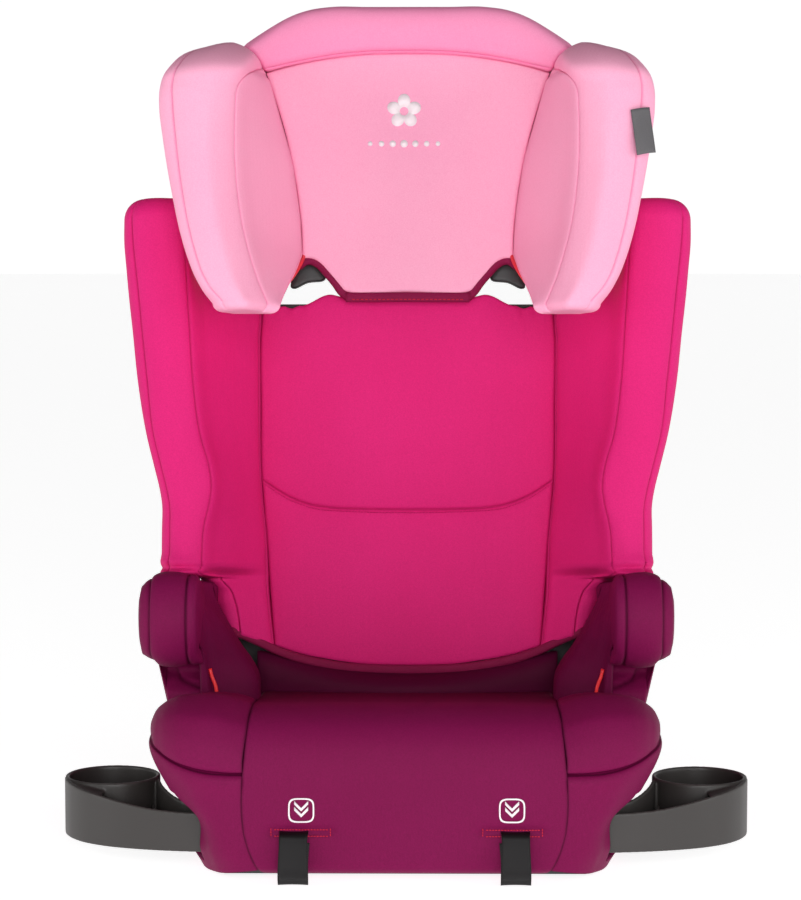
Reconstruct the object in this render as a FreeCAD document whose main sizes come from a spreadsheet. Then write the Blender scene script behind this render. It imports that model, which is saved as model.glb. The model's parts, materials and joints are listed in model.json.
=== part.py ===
import FreeCAD, Part
import math
import os
import Sketcher

# High-back booster seat for a car.
# Frame: +X to the right of somebody facing the seat, +Y towards the back, +Z up.
# The origin is on the floor, in the middle of the underside plate.
# "left" is the -X side and "right" is the +X side.
# The backrest and the headrest are drawn upright and then leaned back about the hinge rod.

DOC = FreeCAD.newDocument("booster_seat")
SHEET = DOC.addObject("Spreadsheet::Sheet", "dims")
SIDES = {"left": -1, "right": 1}

DRIVING = {
    # base
    "base_front": 200,          # front face of the seat cushion, ahead of the origin
    "base_rear": 180,           # back face of the base core, behind the origin
    "skin": 12,                 # padded cover on the front and the sides
    "floor_half": 174,          # half width of the cover at the floor
    "sill_half": 206,           # half width at sill_height
    "waist_half": 220,          # half width at core_top
    "hip_half": 223,            # half width of the thigh bolsters
    "sill_height": 59,
    "core_top": 95,             # top of the base core and seam between side panel and bolster
    "hem_height": 9,            # lower edge of the cover at the front
    "cushion_half": 136,        # half width of the centre cushion
    "crest_y": 150,             # crest of the cushion, ahead of the origin
    "crest_top": 146,
    "bolster_top": 150,
    "bolster_end": 12,          # rear end of the thigh bolsters, ahead of the origin
    "cushion_rear": 100,        # rear end of the centre cushion
    "cushion_rear_top": 118,
    "gap": 0.3,                 # seam gap between padded panels
    # underside
    "plate_half": 160,
    "plate_thick": 4,
    "plate_margin": 4,
    "plate_corner": 20,
    "grip_length": 60,
    "grip_width": 16,
    "grip_thick": 1.5,
    "grip_x": 118,
    "grip_y": 150,
    "screw_radius": 2,
    "screw_length": 14,
    "screw_head_radius": 4.2,
    "screw_head_thick": 2.2,
    "screw_x": 84,
    "screw_pitch": 110,
    # armrests
    "arm_inner": 180.3,
    "arm_outer": 244,
    "arm_top": 247,
    "arm_nose_front": 62,       # front of the nose, ahead of the origin
    "arm_nose_bottom": 161,
    "arm_rear": 130,
    "arm_root_front": 12,
    "arm_core_inner": 192,
    "arm_core_outer": 216,
    "arm_slope_top": 236,
    "arm_slope_foot": 130,
    "arm_slope_rear": 62,
    "belt_guide_thick": 3,
    # cup holders
    "cup_x": 265,
    "cup_y": 60,                # cup axis, ahead of the origin
    "cup_outer_radius": 43,
    "cup_bore_radius": 39,
    "cup_bottom": 14.5,
    "cup_rim": 66,
    "cup_floor": 4,
    "tray_wall": 3,
    "tip_bottom": 17,
    "tip_top": 46,
    "pin_x": 168,
    "pin_y": 142,               # swing pin, ahead of the origin
    "pin_radius": 3,
    "pin_clearance": 0.06,
    "eye_radius": 9,
    "pin_bottom": 5,
    "pin_length": 72,
    "bay_inner": 106,           # fold-away bay in the side of the base
    "bay_front": 160,
    "bay_rear": 38,
    "bay_bottom": 10,
    "bay_top": 70,
    # front pull straps and rear anchor connectors
    "strap_x": 94,
    "strap_half": 12.5,
    "strap_thick": 2.4,
    "strap_height": 45,
    "strap_front": 212,
    "slot_half": 25,
    "anchor_x": 50,
    "anchor_half": 17,
    "anchor_bottom": 14,
    "anchor_top": 36,
    "anchor_front": 108,
    "anchor_rear": 178,
    "anchor_slot_depth": 16,
    "anchor_button_half": 7,
    "anchor_button_front": 132,
    "anchor_button_length": 18,
    "anchor_button_height": 8,
    "anchor_button_travel": 3,
    # hinge between base and backrest
    "hinge_y": 150,
    "hinge_z": 70,
    "rod_radius": 5,
    "rod_half": 150,
    "rod_clearance": 0.06,
    "hook_x": 95,
    "hook_half": 6,
    "hook_eye_radius": 11,
    "hook_arm_front": 138,
    "hook_arm_rear": 160,
    "hook_top": 152,
    "lean": 8,                  # degrees, backrest in its upright position
    # backrest, drawn upright
    "back_pad_front": 100,
    "back_pad_rear": 120,
    "back_pad_top": 485,
    "back_shell_rear": 150,
    "back_shell_bottom": 118,
    "back_column_half": 62,
    "back_column_top": 560,
    "back_opening_bottom": 486,
    "spine_half": 80,
    "spine_bottom": 140,
    "spine_top": 470,
    "spine_rear": 163,
    "channel_half": 46,
    "channel_depth": 14,
    "channel_bottom": 300,
    "wing_front": 10,           # front edge of the side wings, ahead of the origin
    "wing_bottom": 237,
    "hip_pad_bottom": 150,
    # height adjustment
    "rack_back": 54,
    "rack_root": 50,
    "rack_tip": 47,
    "rack_bottom": 360,
    "rack_top": 556,
    "rack_front": 122,
    "rack_rear": 132,
    "tooth": 8,
    "pitch": 17,
    "tooth_count": 11,
    "slider_half": 45.7,
    "slider_front": 121,
    "slider_rear": 133,
    "slider_bottom": 308,
    "slider_top": 700,
    "bolt_z": 380,
    "bolt_half": 3,
    "bolt_inner": 16,
    "bolt_tip": 46.4,
    "bolt_front": 124,
    "bolt_rear": 130,
    "bolt_travel": 6,
    "link_half": 5,
    "link_bottom": 366,
    "link_top": 722,
    "lever_half": 42,
    "lever_bottom": 706,
    "lever_top": 732,
    "lever_rear": 145,
    "slack": 0.3,               # play around sliding pieces
    # headrest, drawn upright
    "head_pad_front": 82,
    "head_shell_front": 104,
    "head_shell_rear": 119,
    "head_top": 773,
    "head_hem": 486,
    "head_front": 75,           # front edge of the head wings, ahead of the origin
}

# Side wing of the backrest: height, outer edge, inner edge at the front, inner edge at the back.
BACK_WING = (
    (237, 231, 187, 134),
    (330, 236, 189, 139),
    (420, 255, 207, 141),
    (478, 262, 210, 141),
    (506, 263, 212, 178),
    (556, 263, 214, 180),
    (571, 240, 216, 186),
)

# Side wing of the headrest: height, outer and inner edge at the front,
# inner and outer edge at the back, and how far back the section reaches.
HEAD_WING = (
    (461, 162, 128, 127, 158, -40),
    (490, 191, 142, 118, 166, 20),
    (532, 204, 152, 97, 140, 103.7),
    (571, 216, 155, 100, 150, 103.7),
    (622, 224, 153, 110, 168, 103.7),
    (652, 228, 151, 117, 175, 103.7),
    (690, 209, 140, 129, 172, 103.7),
    (708, 180, 137, 134, 166, 103.7),
)


# ---------------------------------------------------------------- sheet and sizes

class Size:
    """A length together with the sheet expression that it comes from."""

    def __init__(self, value, text):
        self.value = value
        self.text = text

    def __add__(self, other):
        other = as_size(other)
        return Size(self.value + other.value, f"({self.text} + {other.text})")

    def __sub__(self, other):
        other = as_size(other)
        return Size(self.value - other.value, f"({self.text} - {other.text})")

    def __mul__(self, other):
        other = as_size(other)
        return Size(self.value * other.value, f"({self.text} * {other.text})")

    def __rsub__(self, other):
        return as_size(other) - self

    def __neg__(self):
        return Size(-self.value, f"(0 - {self.text})")

    __radd__ = __add__
    __rmul__ = __mul__


def as_size(number):
    if isinstance(number, Size):
        return number
    return Size(float(number), f"({float(number)})")


def fill_sheet():
    rows = dict(DRIVING)
    for index, (height, outer, inner, centre) in enumerate(BACK_WING):
        rows[f"back_height_{index}_z"] = height
        rows[f"back_outer_{index}_x"] = outer
        rows[f"back_inner_{index}_x"] = inner
        rows[f"back_centre_{index}_x"] = centre
    for index, row in enumerate(HEAD_WING):
        for word, value in zip(("height", "outer", "inner", "seam", "rear", "depth"), row):
            rows[f"head_{word}_{index}_v"] = value
    for number, (alias, value) in enumerate(rows.items(), start=1):
        SHEET.set(f"A{number}", alias)
        SHEET.set(f"B{number}", str(value))
        SHEET.setAlias(f"B{number}", alias)
    DOC.recompute()
    return {alias: Size(float(value), f"dims.{alias}") for alias, value in rows.items()}


S = fill_sheet()


def bind(thing, prop, size):
    """Binds one property of a document object to the sheet."""
    thing.setExpression(prop, as_size(size).text)


# ---------------------------------------------------------------- modelling helpers

def new_body(label):
    body = DOC.addObject("PartDesign::Body", label)
    body.Label = label
    DOC.recompute()
    return body


def new_sketch(body, role, offset=0):
    """A sketch on one of the body's own origin planes, moved along the plane's normal."""
    sketch = body.newObject("Sketcher::SketchObject", body.Name + "_sketch")
    plane = [f for f in body.Origin.OriginFeatures if f.Role == role][0]
    sketch.AttachmentSupport = (plane, [""])
    sketch.MapMode = "FlatFace"
    bind(sketch, "AttachmentOffset.Base.z", offset)
    return sketch


def hold_point(sketch, edge, end, x, y):
    """Fixes one point of the sketch at sheet coordinates."""
    for kind, size in (("DistanceX", as_size(x)), ("DistanceY", as_size(y))):
        number = sketch.addConstraint(Sketcher.Constraint(kind, edge, end, size.value))
        sketch.setExpression(f"Constraints[{number}]", size.text)


def polygon(sketch, points):
    """A closed outline whose corners are all bound to the sheet."""
    corners = [(as_size(x), as_size(y)) for x, y in points]
    vectors = [FreeCAD.Vector(x.value, y.value, 0) for x, y in corners]
    count = len(corners)
    first = sketch.GeometryCount
    for index in range(count):
        sketch.addGeometry(Part.LineSegment(vectors[index], vectors[(index + 1) % count]), False)
    for index in range(count):
        following = first + (index + 1) % count
        sketch.addConstraint(Sketcher.Constraint("Coincident", first + index, 2, following, 1))
        hold_point(sketch, first + index, 1, *corners[index])


def rectangle(sketch, x_low, x_high, y_low, y_high):
    polygon(sketch, ((x_low, y_low), (x_high, y_low), (x_high, y_high), (x_low, y_high)))


def circle(sketch, x, y, radius):
    x, y, radius = as_size(x), as_size(y), as_size(radius)
    centre = FreeCAD.Vector(x.value, y.value, 0)
    edge = sketch.addGeometry(Part.Circle(centre, FreeCAD.Vector(0, 0, 1), radius.value), False)
    hold_point(sketch, edge, 3, x, y)
    number = sketch.addConstraint(Sketcher.Constraint("Radius", edge, radius.value))
    sketch.setExpression(f"Constraints[{number}]", radius.text)


def pad(body, sketch, length, reverse=False, both=False):
    feature = body.newObject("PartDesign::Pad", body.Name + "_pad")
    feature.Profile = sketch
    bind(feature, "Length", length)
    feature.Reversed = reverse
    feature.SideType = "Symmetric" if both else "One side"
    DOC.recompute()
    return feature


def pocket(body, sketch, length, reverse=False, both=False):
    """A pocket that must remove material."""
    before = body.Shape.Volume
    feature = body.newObject("PartDesign::Pocket", body.Name + "_pocket")
    feature.Profile = sketch
    bind(feature, "Length", length)
    feature.Reversed = reverse
    feature.SideType = "Symmetric" if both else "One side"
    DOC.recompute()
    if body.Shape.Volume >= before - 1:
        raise RuntimeError(f"a pocket of {body.Label} cuts nothing")
    return feature


def loft(body, sketches):
    """A ruled loft through sections of equal corner count."""
    feature = body.newObject("PartDesign::AdditiveLoft", body.Name + "_loft")
    feature.Profile = sketches[0]
    feature.Sections = sketches[1:]
    feature.Ruled = True
    DOC.recompute()
    return feature


def front_view(body, y):
    """A sketch in the X-Z plane at the given Y; a pad from it grows forwards."""
    return new_sketch(body, "XZ_Plane", -as_size(y))


def side_view(body, x=0):
    """A sketch in the Y-Z plane at the given X; a pad from it grows to the right."""
    return new_sketch(body, "YZ_Plane", x)


def top_view(body, z):
    """A sketch in the X-Y plane at the given Z; a pad from it grows upwards."""
    return new_sketch(body, "XY_Plane", z)


def both_halves(points):
    """An outline that is symmetric about X = 0, from its right half, bottom to top."""
    mirrored = [(-as_size(x), z) for x, z in reversed(points)]
    return list(points) + mirrored


def cylinder(name, radius, height, x, y, z, axis="z"):
    """A bound Part::Cylinder that starts at x, y, z and runs along the given axis."""
    tube = DOC.addObject("Part::Cylinder", name)
    bind(tube, "Radius", radius)
    bind(tube, "Height", height)
    turns = {"z": (0, 0, 0), "x": (0, 90, 0), "y": (0, 0, -90)}
    yaw, pitch, roll = turns[axis]
    tube.Placement.Rotation = FreeCAD.Rotation(yaw, pitch, roll)
    for letter, size in (("x", x), ("y", y), ("z", z)):
        bind(tube, f"Placement.Base.{letter}", size)
    return tube


def box(name, x, y, z, length, width, height):
    block = DOC.addObject("Part::Box", name)
    for prop, size in (("Length", length), ("Width", width), ("Height", height)):
        bind(block, prop, size)
    for letter, size in (("x", x), ("y", y), ("z", z)):
        bind(block, f"Placement.Base.{letter}", size)
    return block


def joined(label, pieces):
    """Several primitives as one sub-part."""
    fuse = DOC.addObject("Part::MultiFuse", label)
    fuse.Shapes = pieces
    fuse.Label = label
    return fuse


def screw(name, x, y, z, axis):
    """A pan-head screw: the head starts at x, y, z and the shank follows it along the axis."""
    head = cylinder(name + "_head", S["screw_head_radius"], S["screw_head_thick"], x, y, z, axis)
    steps = {"x": (1, 0, 0), "y": (0, 1, 0), "z": (0, 0, 1), "-y": (0, -1, 0)}
    step = [S["screw_head_thick"] * value for value in steps[axis]]
    place = [as_size(start) + move for start, move in zip((x, y, z), step)]
    shank = cylinder(name + "_shank", S["screw_radius"], S["screw_length"], *place, axis)
    return [head, shank]


# ---------------------------------------------------------------- base

def screw_places():
    """Six screws of the underside plate: two columns and three rows."""
    return [(sign * S["screw_x"], row * S["screw_pitch"]) for sign in (-1, 1) for row in (-1, 0, 1)]


def grip_places():
    return [(sx * S["grip_x"], sy * S["grip_y"]) for sx in (-1, 1) for sy in (-1, 1)]


def core_edge():
    """Side of the base core, from the plate up: half width and height."""
    return [
        (S["floor_half"] - S["skin"], S["plate_thick"]),
        (S["sill_half"] - S["skin"], S["sill_height"]),
        (S["waist_half"] - S["skin"], S["core_top"]),
    ]


def base_core():
    body = new_body("base_core")
    outline = front_view(body, S["base_rear"])
    polygon(outline, both_halves(core_edge()))
    pad(body, outline, S["base_rear"] + S["base_front"] - S["skin"])

    bays = top_view(body, S["bay_top"])
    for sign in SIDES.values():
        rectangle(bays, sign * S["bay_inner"], sign * (S["waist_half"] + S["skin"]),
                  -S["bay_front"], S["bay_rear"])
    pocket(body, bays, S["bay_top"] - S["bay_bottom"])

    hooks = front_view(body, S["hinge_y"] - 30)
    for sign in SIDES.values():
        rectangle(hooks, sign * (S["hook_x"] - 11), sign * (S["hook_x"] + 11),
                  S["hinge_z"] - 18, S["core_top"] + 5)
    pocket(body, hooks, 70)

    rod = side_view(body)
    circle(rod, S["hinge_y"], S["hinge_z"], S["rod_radius"])
    pocket(body, rod, S["rod_half"] * 2, both=True)

    anchors = front_view(body, S["anchor_front"] - 8)
    for sign in SIDES.values():
        rectangle(anchors, sign * (S["anchor_x"] - S["anchor_half"] - 5),
                  sign * (S["anchor_x"] + S["anchor_half"] + 5),
                  S["anchor_bottom"] - S["slack"], S["anchor_top"] + 12)
    pocket(body, anchors, 90)

    straps = front_view(body, S["skin"] - S["base_front"])
    for sign in SIDES.values():
        rectangle(straps, sign * (S["strap_x"] - S["strap_half"] - 1),
                  sign * (S["strap_x"] + S["strap_half"] + 1),
                  S["strap_height"] - 2, S["strap_height"] + 2)
    pocket(body, straps, 30)

    pins = top_view(body, S["pin_bottom"] + S["pin_length"])
    for sign in SIDES.values():
        circle(pins, sign * S["pin_x"], -S["pin_y"], S["pin_radius"])
    pocket(body, pins, S["pin_length"])

    threads = top_view(body, S["plate_thick"])
    for x, y in screw_places():
        circle(threads, x, y, S["screw_radius"])
    pocket(body, threads, S["screw_length"], reverse=True)
    return body


def base_underside_cover():
    body = new_body("base_underside_cover")
    half = S["plate_half"]
    front = S["plate_margin"] + S["skin"] - S["base_front"]
    rear = S["base_rear"] - S["plate_margin"]
    cut = S["plate_corner"]
    outline = top_view(body, 0)
    polygon(outline, ((-half, front + cut), (cut - half, front), (half - cut, front),
                      (half, front + cut), (half, rear - cut), (half - cut, rear),
                      (cut - half, rear), (-half, rear - cut)))
    pad(body, outline, S["plate_thick"])

    heads = top_view(body, 0)
    for x, y in screw_places():
        circle(heads, x, y, S["screw_head_radius"] + 0.5)
    pocket(body, heads, S["plate_thick"] - 1, reverse=True)
    shanks = top_view(body, 0)
    for x, y in screw_places():
        circle(shanks, x, y, S["screw_radius"])
    pocket(body, shanks, S["plate_thick"], reverse=True)
    grips = top_view(body, 0)
    for x, y in grip_places():
        rectangle(grips, x - S["grip_length"] * 0.5, x + S["grip_length"] * 0.5,
                  y - S["grip_width"] * 0.5, y + S["grip_width"] * 0.5)
    pocket(body, grips, S["grip_thick"], reverse=True)
    return body


def anti_slip_pads():
    pads = [
        box(f"grip_{number}", x - S["grip_length"] * 0.5, y - S["grip_width"] * 0.5, 0,
            S["grip_length"], S["grip_width"], S["grip_thick"])
        for number, (x, y) in enumerate(grip_places())
    ]
    return joined("anti_slip_pads", pads)


def underside_screws():
    pieces = []
    for number, (x, y) in enumerate(screw_places()):
        start = S["plate_thick"] - 1 - S["screw_head_thick"]
        pieces += screw(f"underside_screw_{number}", x, y, start, "z")
    return joined("underside_screws", pieces)


def seat_cushion():
    """Centre panel: front skirt, crest and the sitting surface that falls to the back."""
    body = new_body("seat_cushion")
    front = -S["base_front"]
    crest = -S["crest_y"]
    outline = side_view(body)
    polygon(outline, (
        (front, S["hem_height"]), (front + S["skin"], S["hem_height"]),
        (front + S["skin"], S["core_top"]), (S["cushion_rear"], S["core_top"]),
        (S["cushion_rear"], S["cushion_rear_top"]), (0, S["cushion_rear_top"] + 6),
        (crest + 50, S["crest_top"] - 7), (crest, S["crest_top"]),
        (crest - 25, S["crest_top"] - 3), (front + 8, S["crest_top"] - 14),
        (front, S["crest_top"] - 36),
    ))
    pad(body, outline, S["cushion_half"] * 2, both=True)
    slots = front_view(body, front)
    for sign in SIDES.values():
        rectangle(slots, sign * (S["strap_x"] - S["slot_half"]),
                  sign * (S["strap_x"] + S["slot_half"]),
                  S["strap_height"] - 1.5, S["strap_height"] + 1.5)
    pocket(body, slots, S["skin"])
    return body


def thigh_bolster(word, sign):
    body = new_body(f"thigh_bolster_{word}")
    inner = S["cushion_half"] + S["gap"]
    floor = S["core_top"] + S["gap"]
    top = S["bolster_top"]
    outline = front_view(body, -S["bolster_end"])
    polygon(outline, [(sign * x, z) for x, z in (
        (inner, floor), (S["waist_half"], floor), (S["hip_half"], top - 34),
        (S["hip_half"] - 3, top - 22), (S["hip_half"] - 14, top - 8),
        (S["hip_half"] - 36, top), (inner, top - 3),
    )])
    pad(body, outline, S["base_front"] - S["bolster_end"])
    front = -S["base_front"]
    crown = side_view(body, sign * 180)
    polygon(crown, (
        (front - 5, floor + 8), (front, floor + 8), (front + 4, top - 26), (front + 20, top - 9),
        (-S["crest_y"], top + 0.5), (-S["crest_y"] + 80, top - 4), (0, top - 22),
        (0, top + 20), (front - 5, top + 20),
    ))
    pocket(body, crown, 110, both=True)
    corner = top_view(body, top + 10)
    polygon(corner, front_corner(sign))
    pocket(body, corner, top)
    return body


def front_corner(sign):
    """The rounded front corner of the base, as the triangle that it takes off."""
    reach = S["hip_half"] + 10
    front = -S["base_front"]
    return [(sign * x, y) for x, y in (
        (S["cushion_half"] + 30, front - 5), (S["cushion_half"] + 46, front + 2),
        (S["cushion_half"] + 72, front + 16), (reach - 12, front + 50), (reach, front + 60),
        (reach, front - 5),
    )]


def base_side_panel(word, sign):
    """Lower padded side of the base, round the front corner, with the mouth of the fold-away bay."""
    body = new_body(f"base_side_panel_{word}")
    outer = [(S["waist_half"], S["core_top"]), (S["sill_half"], S["sill_height"]),
             (S["floor_half"] + 12, 23), (S["floor_half"], 0)]
    side = front_view(body, S["base_rear"])
    foot = S["floor_half"] - S["skin"]
    polygon(side, [(sign * x, z) for x, z in [(foot, 0)] + core_edge() + outer])
    pad(body, side, S["base_rear"] + S["base_front"] - S["skin"])
    inner = S["cushion_half"] + S["gap"]
    wrap = front_view(body, S["skin"] - S["base_front"])
    polygon(wrap, [(sign * x, z) for x, z in [
        (inner, S["hem_height"]), (inner, S["core_top"])] + outer[:3]
        + [(S["floor_half"] + 5, S["hem_height"])]])
    pad(body, wrap, S["skin"])
    corner = top_view(body, S["core_top"] + 10)
    polygon(corner, front_corner(sign))
    pocket(body, corner, S["core_top"] + 20)
    bay = top_view(body, S["bay_top"])
    rectangle(bay, sign * S["bay_inner"], sign * (S["hip_half"] + 20),
              -S["bay_front"], S["bay_rear"])
    pocket(body, bay, S["bay_top"] - S["bay_bottom"])
    pin = top_view(body, S["bay_bottom"])
    circle(pin, sign * S["pin_x"], -S["pin_y"], S["pin_radius"])
    pocket(body, pin, S["bay_bottom"] - S["pin_bottom"])
    return body


def seat_rear_band():
    """Upholstered strip that rises behind the sitting surface."""
    body = new_body("seat_rear_band")
    start = S["cushion_rear"] + S["gap"]
    outline = side_view(body)
    polygon(outline, ((start, S["core_top"]), (start + 24, S["core_top"]),
                      (start + 24, S["cushion_rear_top"]), (start + 12, S["cushion_rear_top"] + 4),
                      (start, S["cushion_rear_top"] + 1)))
    pad(body, outline, S["cushion_half"] * 2, both=True)
    return body


def hinge_rod():
    rod = cylinder("hinge_rod", S["rod_radius"], S["rod_half"] * 2,
                   -S["rod_half"], S["hinge_y"], S["hinge_z"], "x")
    rod.Label = "hinge_rod"
    return rod


def arm_core_outline():
    """Inner arm in side view: root, then the curl of the nose."""
    top = S["arm_top"]
    return ((45, S["core_top"]), (105, S["core_top"]), (105, top - 32), (60, top - 22),
            (-10, top - 14), (-34, top - 24), (-46, top - 43), (-36, top - 61),
            (-10, top - 71), (32, top - 71), (45, top - 84))


def armrest_core(word, sign):
    body = new_body(f"armrest_core_{word}")
    outline = side_view(body, sign * S["arm_core_inner"])
    polygon(outline, arm_core_outline())
    pad(body, outline, S["arm_core_outer"] - S["arm_core_inner"], reverse=sign < 0)
    return body


def armrest_cover(word, sign):
    """Padded cover of the arm: a round nose at the front and a notch for the lap belt below it."""
    body = new_body(f"armrest_cover_{word}")
    top = S["arm_top"]
    nose = -S["arm_nose_front"]
    low = S["arm_nose_bottom"]
    rear = S["arm_rear"]
    root = S["arm_root_front"]
    floor = S["core_top"] + S["gap"]
    outline = side_view(body, sign * S["arm_inner"])
    polygon(outline, (
        (root, floor), (rear, floor), (rear, top - 30), (rear - 6, top - 22), (80, top - 9),
        (40, top - 3), (-14, top), (-34, top - 3), (-52, top - 15), (nose, top - 34),
        (nose, top - 54), (-50, low + 13), (-32, low + 2), (-8, low), (root, low - 4),
        (root + 10, low - 22), (root + 2, low - 44),
    ))
    width = S["arm_outer"] - S["arm_inner"]
    pad(body, outline, width, reverse=sign < 0)
    hollow = side_view(body, sign * S["arm_core_inner"])
    polygon(hollow, arm_core_outline())
    pocket(body, hollow, S["arm_core_outer"] - S["arm_core_inner"], reverse=sign > 0)
    waist = front_view(body, rear + 10)
    outer = S["arm_outer"]
    polygon(waist, [(sign * x, z) for x, z in (
        (S["hip_half"] - 1, floor - 5), (S["hip_half"] + 1, low - 3), (outer - 8, low + 5),
        (outer + 0.5, low + 20), (outer + 16, low + 20), (outer + 16, floor - 5),
    )])
    pocket(body, waist, 220, reverse=True)
    shoulder = front_view(body, rear + 10)
    polygon(shoulder, [(sign * x, z) for x, z in (
        (outer + 0.5, top - 33), (outer - 8, top - 15), (outer - 23, top + 0.5),
        (outer + 16, top + 0.5), (outer + 16, top - 33),
    )])
    pocket(body, shoulder, 220, reverse=True)
    return body


def armrest_inner_pad(word, sign):
    """Sloping lining between the arm and the sitting surface."""
    body = new_body(f"armrest_inner_pad_{word}")
    inner = S["cushion_half"] + S["gap"]
    outer = S["arm_inner"] - S["gap"]
    floor = S["core_top"] + S["gap"]
    outline = front_view(body, S["arm_slope_rear"])
    polygon(outline, [(sign * x, z) for x, z in (
        (inner, floor), (inner, S["arm_slope_foot"]), (outer - 2, S["arm_slope_top"]),
        (outer, S["arm_slope_top"]), (outer, floor),
    )])
    pad(body, outline, S["arm_slope_rear"] + S["bolster_end"] - S["gap"])
    return body


def lap_belt_guide(word, sign):
    """Curved lip that keeps the lap belt in the notch."""
    body = new_body(f"lap_belt_guide_{word}")
    floor = S["core_top"] + 2 * S["gap"]
    low = S["arm_nose_bottom"]
    outline = side_view(body, sign * S["arm_inner"])
    polygon(outline, (
        (-9, floor), (-2, floor), (3, low - 36), (9, low - 14), (10, low - 5), (5, low - 4),
        (1, low - 12), (-5, low - 36),
    ))
    pad(body, outline, S["belt_guide_thick"], reverse=sign < 0)
    return body


# ---------------------------------------------------------------- cup holders

def cup_holder_pin(word, sign):
    pin = cylinder(f"cup_holder_pin_{word}", S["pin_radius"], S["pin_length"],
                   sign * S["pin_x"], -S["pin_y"], S["pin_bottom"])
    pin.Label = f"cup_holder_pin_{word}"
    return pin


def arc_points(x, y, radius, start, end, count):
    """Corners on an arc in the top view; the angles are in degrees from +X towards +Y."""
    points = []
    for index in range(count + 1):
        angle = math.radians(start + (end - start) * index / count)
        points.append((x + radius * math.cos(angle), y + radius * math.sin(angle)))
    return points


def cup_outline():
    """Outline of a right-hand holder from above: the ring, the bowed front wall and the tip."""
    ring = arc_points(S["cup_x"], -S["cup_y"], S["cup_outer_radius"] - 1, -48, 196, 18)
    tip = arc_points(S["pin_x"], -S["pin_y"], S["eye_radius"], 120, 292, 6)
    neck = [(S["cup_x"] - 45, -S["cup_y"] - 30), (S["pin_x"] + 36, -S["pin_y"] + 20)]
    bow = [(S["pin_x"] + 40, -S["pin_y"] - 4), (S["pin_x"] + 82, -S["pin_y"] + 12)]
    return ring + neck + tip + bow


def tray_outline():
    """The open tray between the ring and the tip."""
    wall = S["tray_wall"]
    ring = arc_points(S["cup_x"], -S["cup_y"], S["cup_outer_radius"] - 1, 282, 196, 8)
    return ring + [
        (S["cup_x"] - 43, -S["cup_y"] - 32), (S["pin_x"] + 34, -S["pin_y"] + 18 - wall),
        (S["pin_x"] + 18, -S["pin_y"] + 6), (S["pin_x"] + 18, -S["pin_y"] - 1),
        (S["pin_x"] + 39, -S["pin_y"] - 4 + wall), (S["pin_x"] + 80, -S["pin_y"] + 12 + wall),
    ]


def cup_holder(word, sign):
    """Open ring for a cup with a small tray in front, swinging on a pin."""
    body = new_body(f"cup_holder_{word}")
    outline = top_view(body, S["cup_bottom"])
    polygon(outline, [(sign * x, y) for x, y in cup_outline()])
    pad(body, outline, S["cup_rim"] - S["cup_bottom"])

    slope = front_view(body, 40)
    far = S["cup_x"] + 60
    polygon(slope, [(sign * x, z) for x, z in (
        (S["pin_x"] - 20, S["tip_top"]), (S["pin_x"] + 28, S["tip_top"]),
        (S["cup_x"] - 20, S["cup_rim"] - 5), (S["cup_x"] + 12, S["cup_rim"] - 1.5),
        (far, S["cup_rim"] - 1.5), (far, S["cup_rim"] + 10), (S["pin_x"] - 20, S["cup_rim"] + 10),
    )])
    pocket(body, slope, 240, reverse=True)
    keel = front_view(body, 40)
    polygon(keel, [(sign * x, z) for x, z in (
        (S["pin_x"] - 20, S["cup_bottom"] - 5), (S["pin_x"] - 20, S["tip_bottom"]),
        (S["pin_x"] + 20, S["tip_bottom"]), (S["cup_x"] - 30, S["cup_bottom"]),
        (S["cup_x"] - 30, S["cup_bottom"] - 5),
    )])
    pocket(body, keel, 240, reverse=True)
    tray = top_view(body, S["cup_rim"])
    polygon(tray, [(sign * x, y) for x, y in tray_outline()])
    pocket(body, tray, S["cup_rim"] - S["tip_bottom"] - S["tray_wall"])

    ring = top_view(body, S["cup_bottom"])
    circle(ring, sign * S["cup_x"], -S["cup_y"], S["cup_outer_radius"])
    pad(body, ring, S["cup_rim"] - S["cup_bottom"])
    bore = top_view(body, S["cup_rim"])
    circle(bore, sign * S["cup_x"], -S["cup_y"], S["cup_bore_radius"])
    pocket(body, bore, S["cup_rim"] - S["cup_bottom"] - S["cup_floor"])
    eye = top_view(body, S["cup_rim"])
    circle(eye, sign * S["pin_x"], -S["pin_y"], S["pin_radius"] + S["pin_clearance"])
    pocket(body, eye, S["cup_rim"])
    return body


# ---------------------------------------------------------------- straps and anchor connectors

def latch_strap(word, sign):
    """Pull end of an anchor strap: out of the slot in the skirt and down to the floor."""
    body = new_body(f"latch_strap_{word}")
    z = S["strap_height"]
    half = S["strap_thick"] * 0.5
    front = -S["strap_front"]
    inside = 35 - S["base_front"]
    outline = side_view(body, sign * S["strap_x"])
    polygon(outline, (
        (inside, z + half), (-204, z + half), (front + 3, z - 2), (front - 0.5, z - 24),
        (front - 5, 4), (front - 2, 0.6), (front + 4, 0.6), (front + 5.5, 5),
        (front + 4.5, z - 24), (front + 7, z - 7), (-202, z - half), (inside, z - half),
    ))
    pad(body, outline, S["strap_half"] * 2, both=True)
    return body


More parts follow.
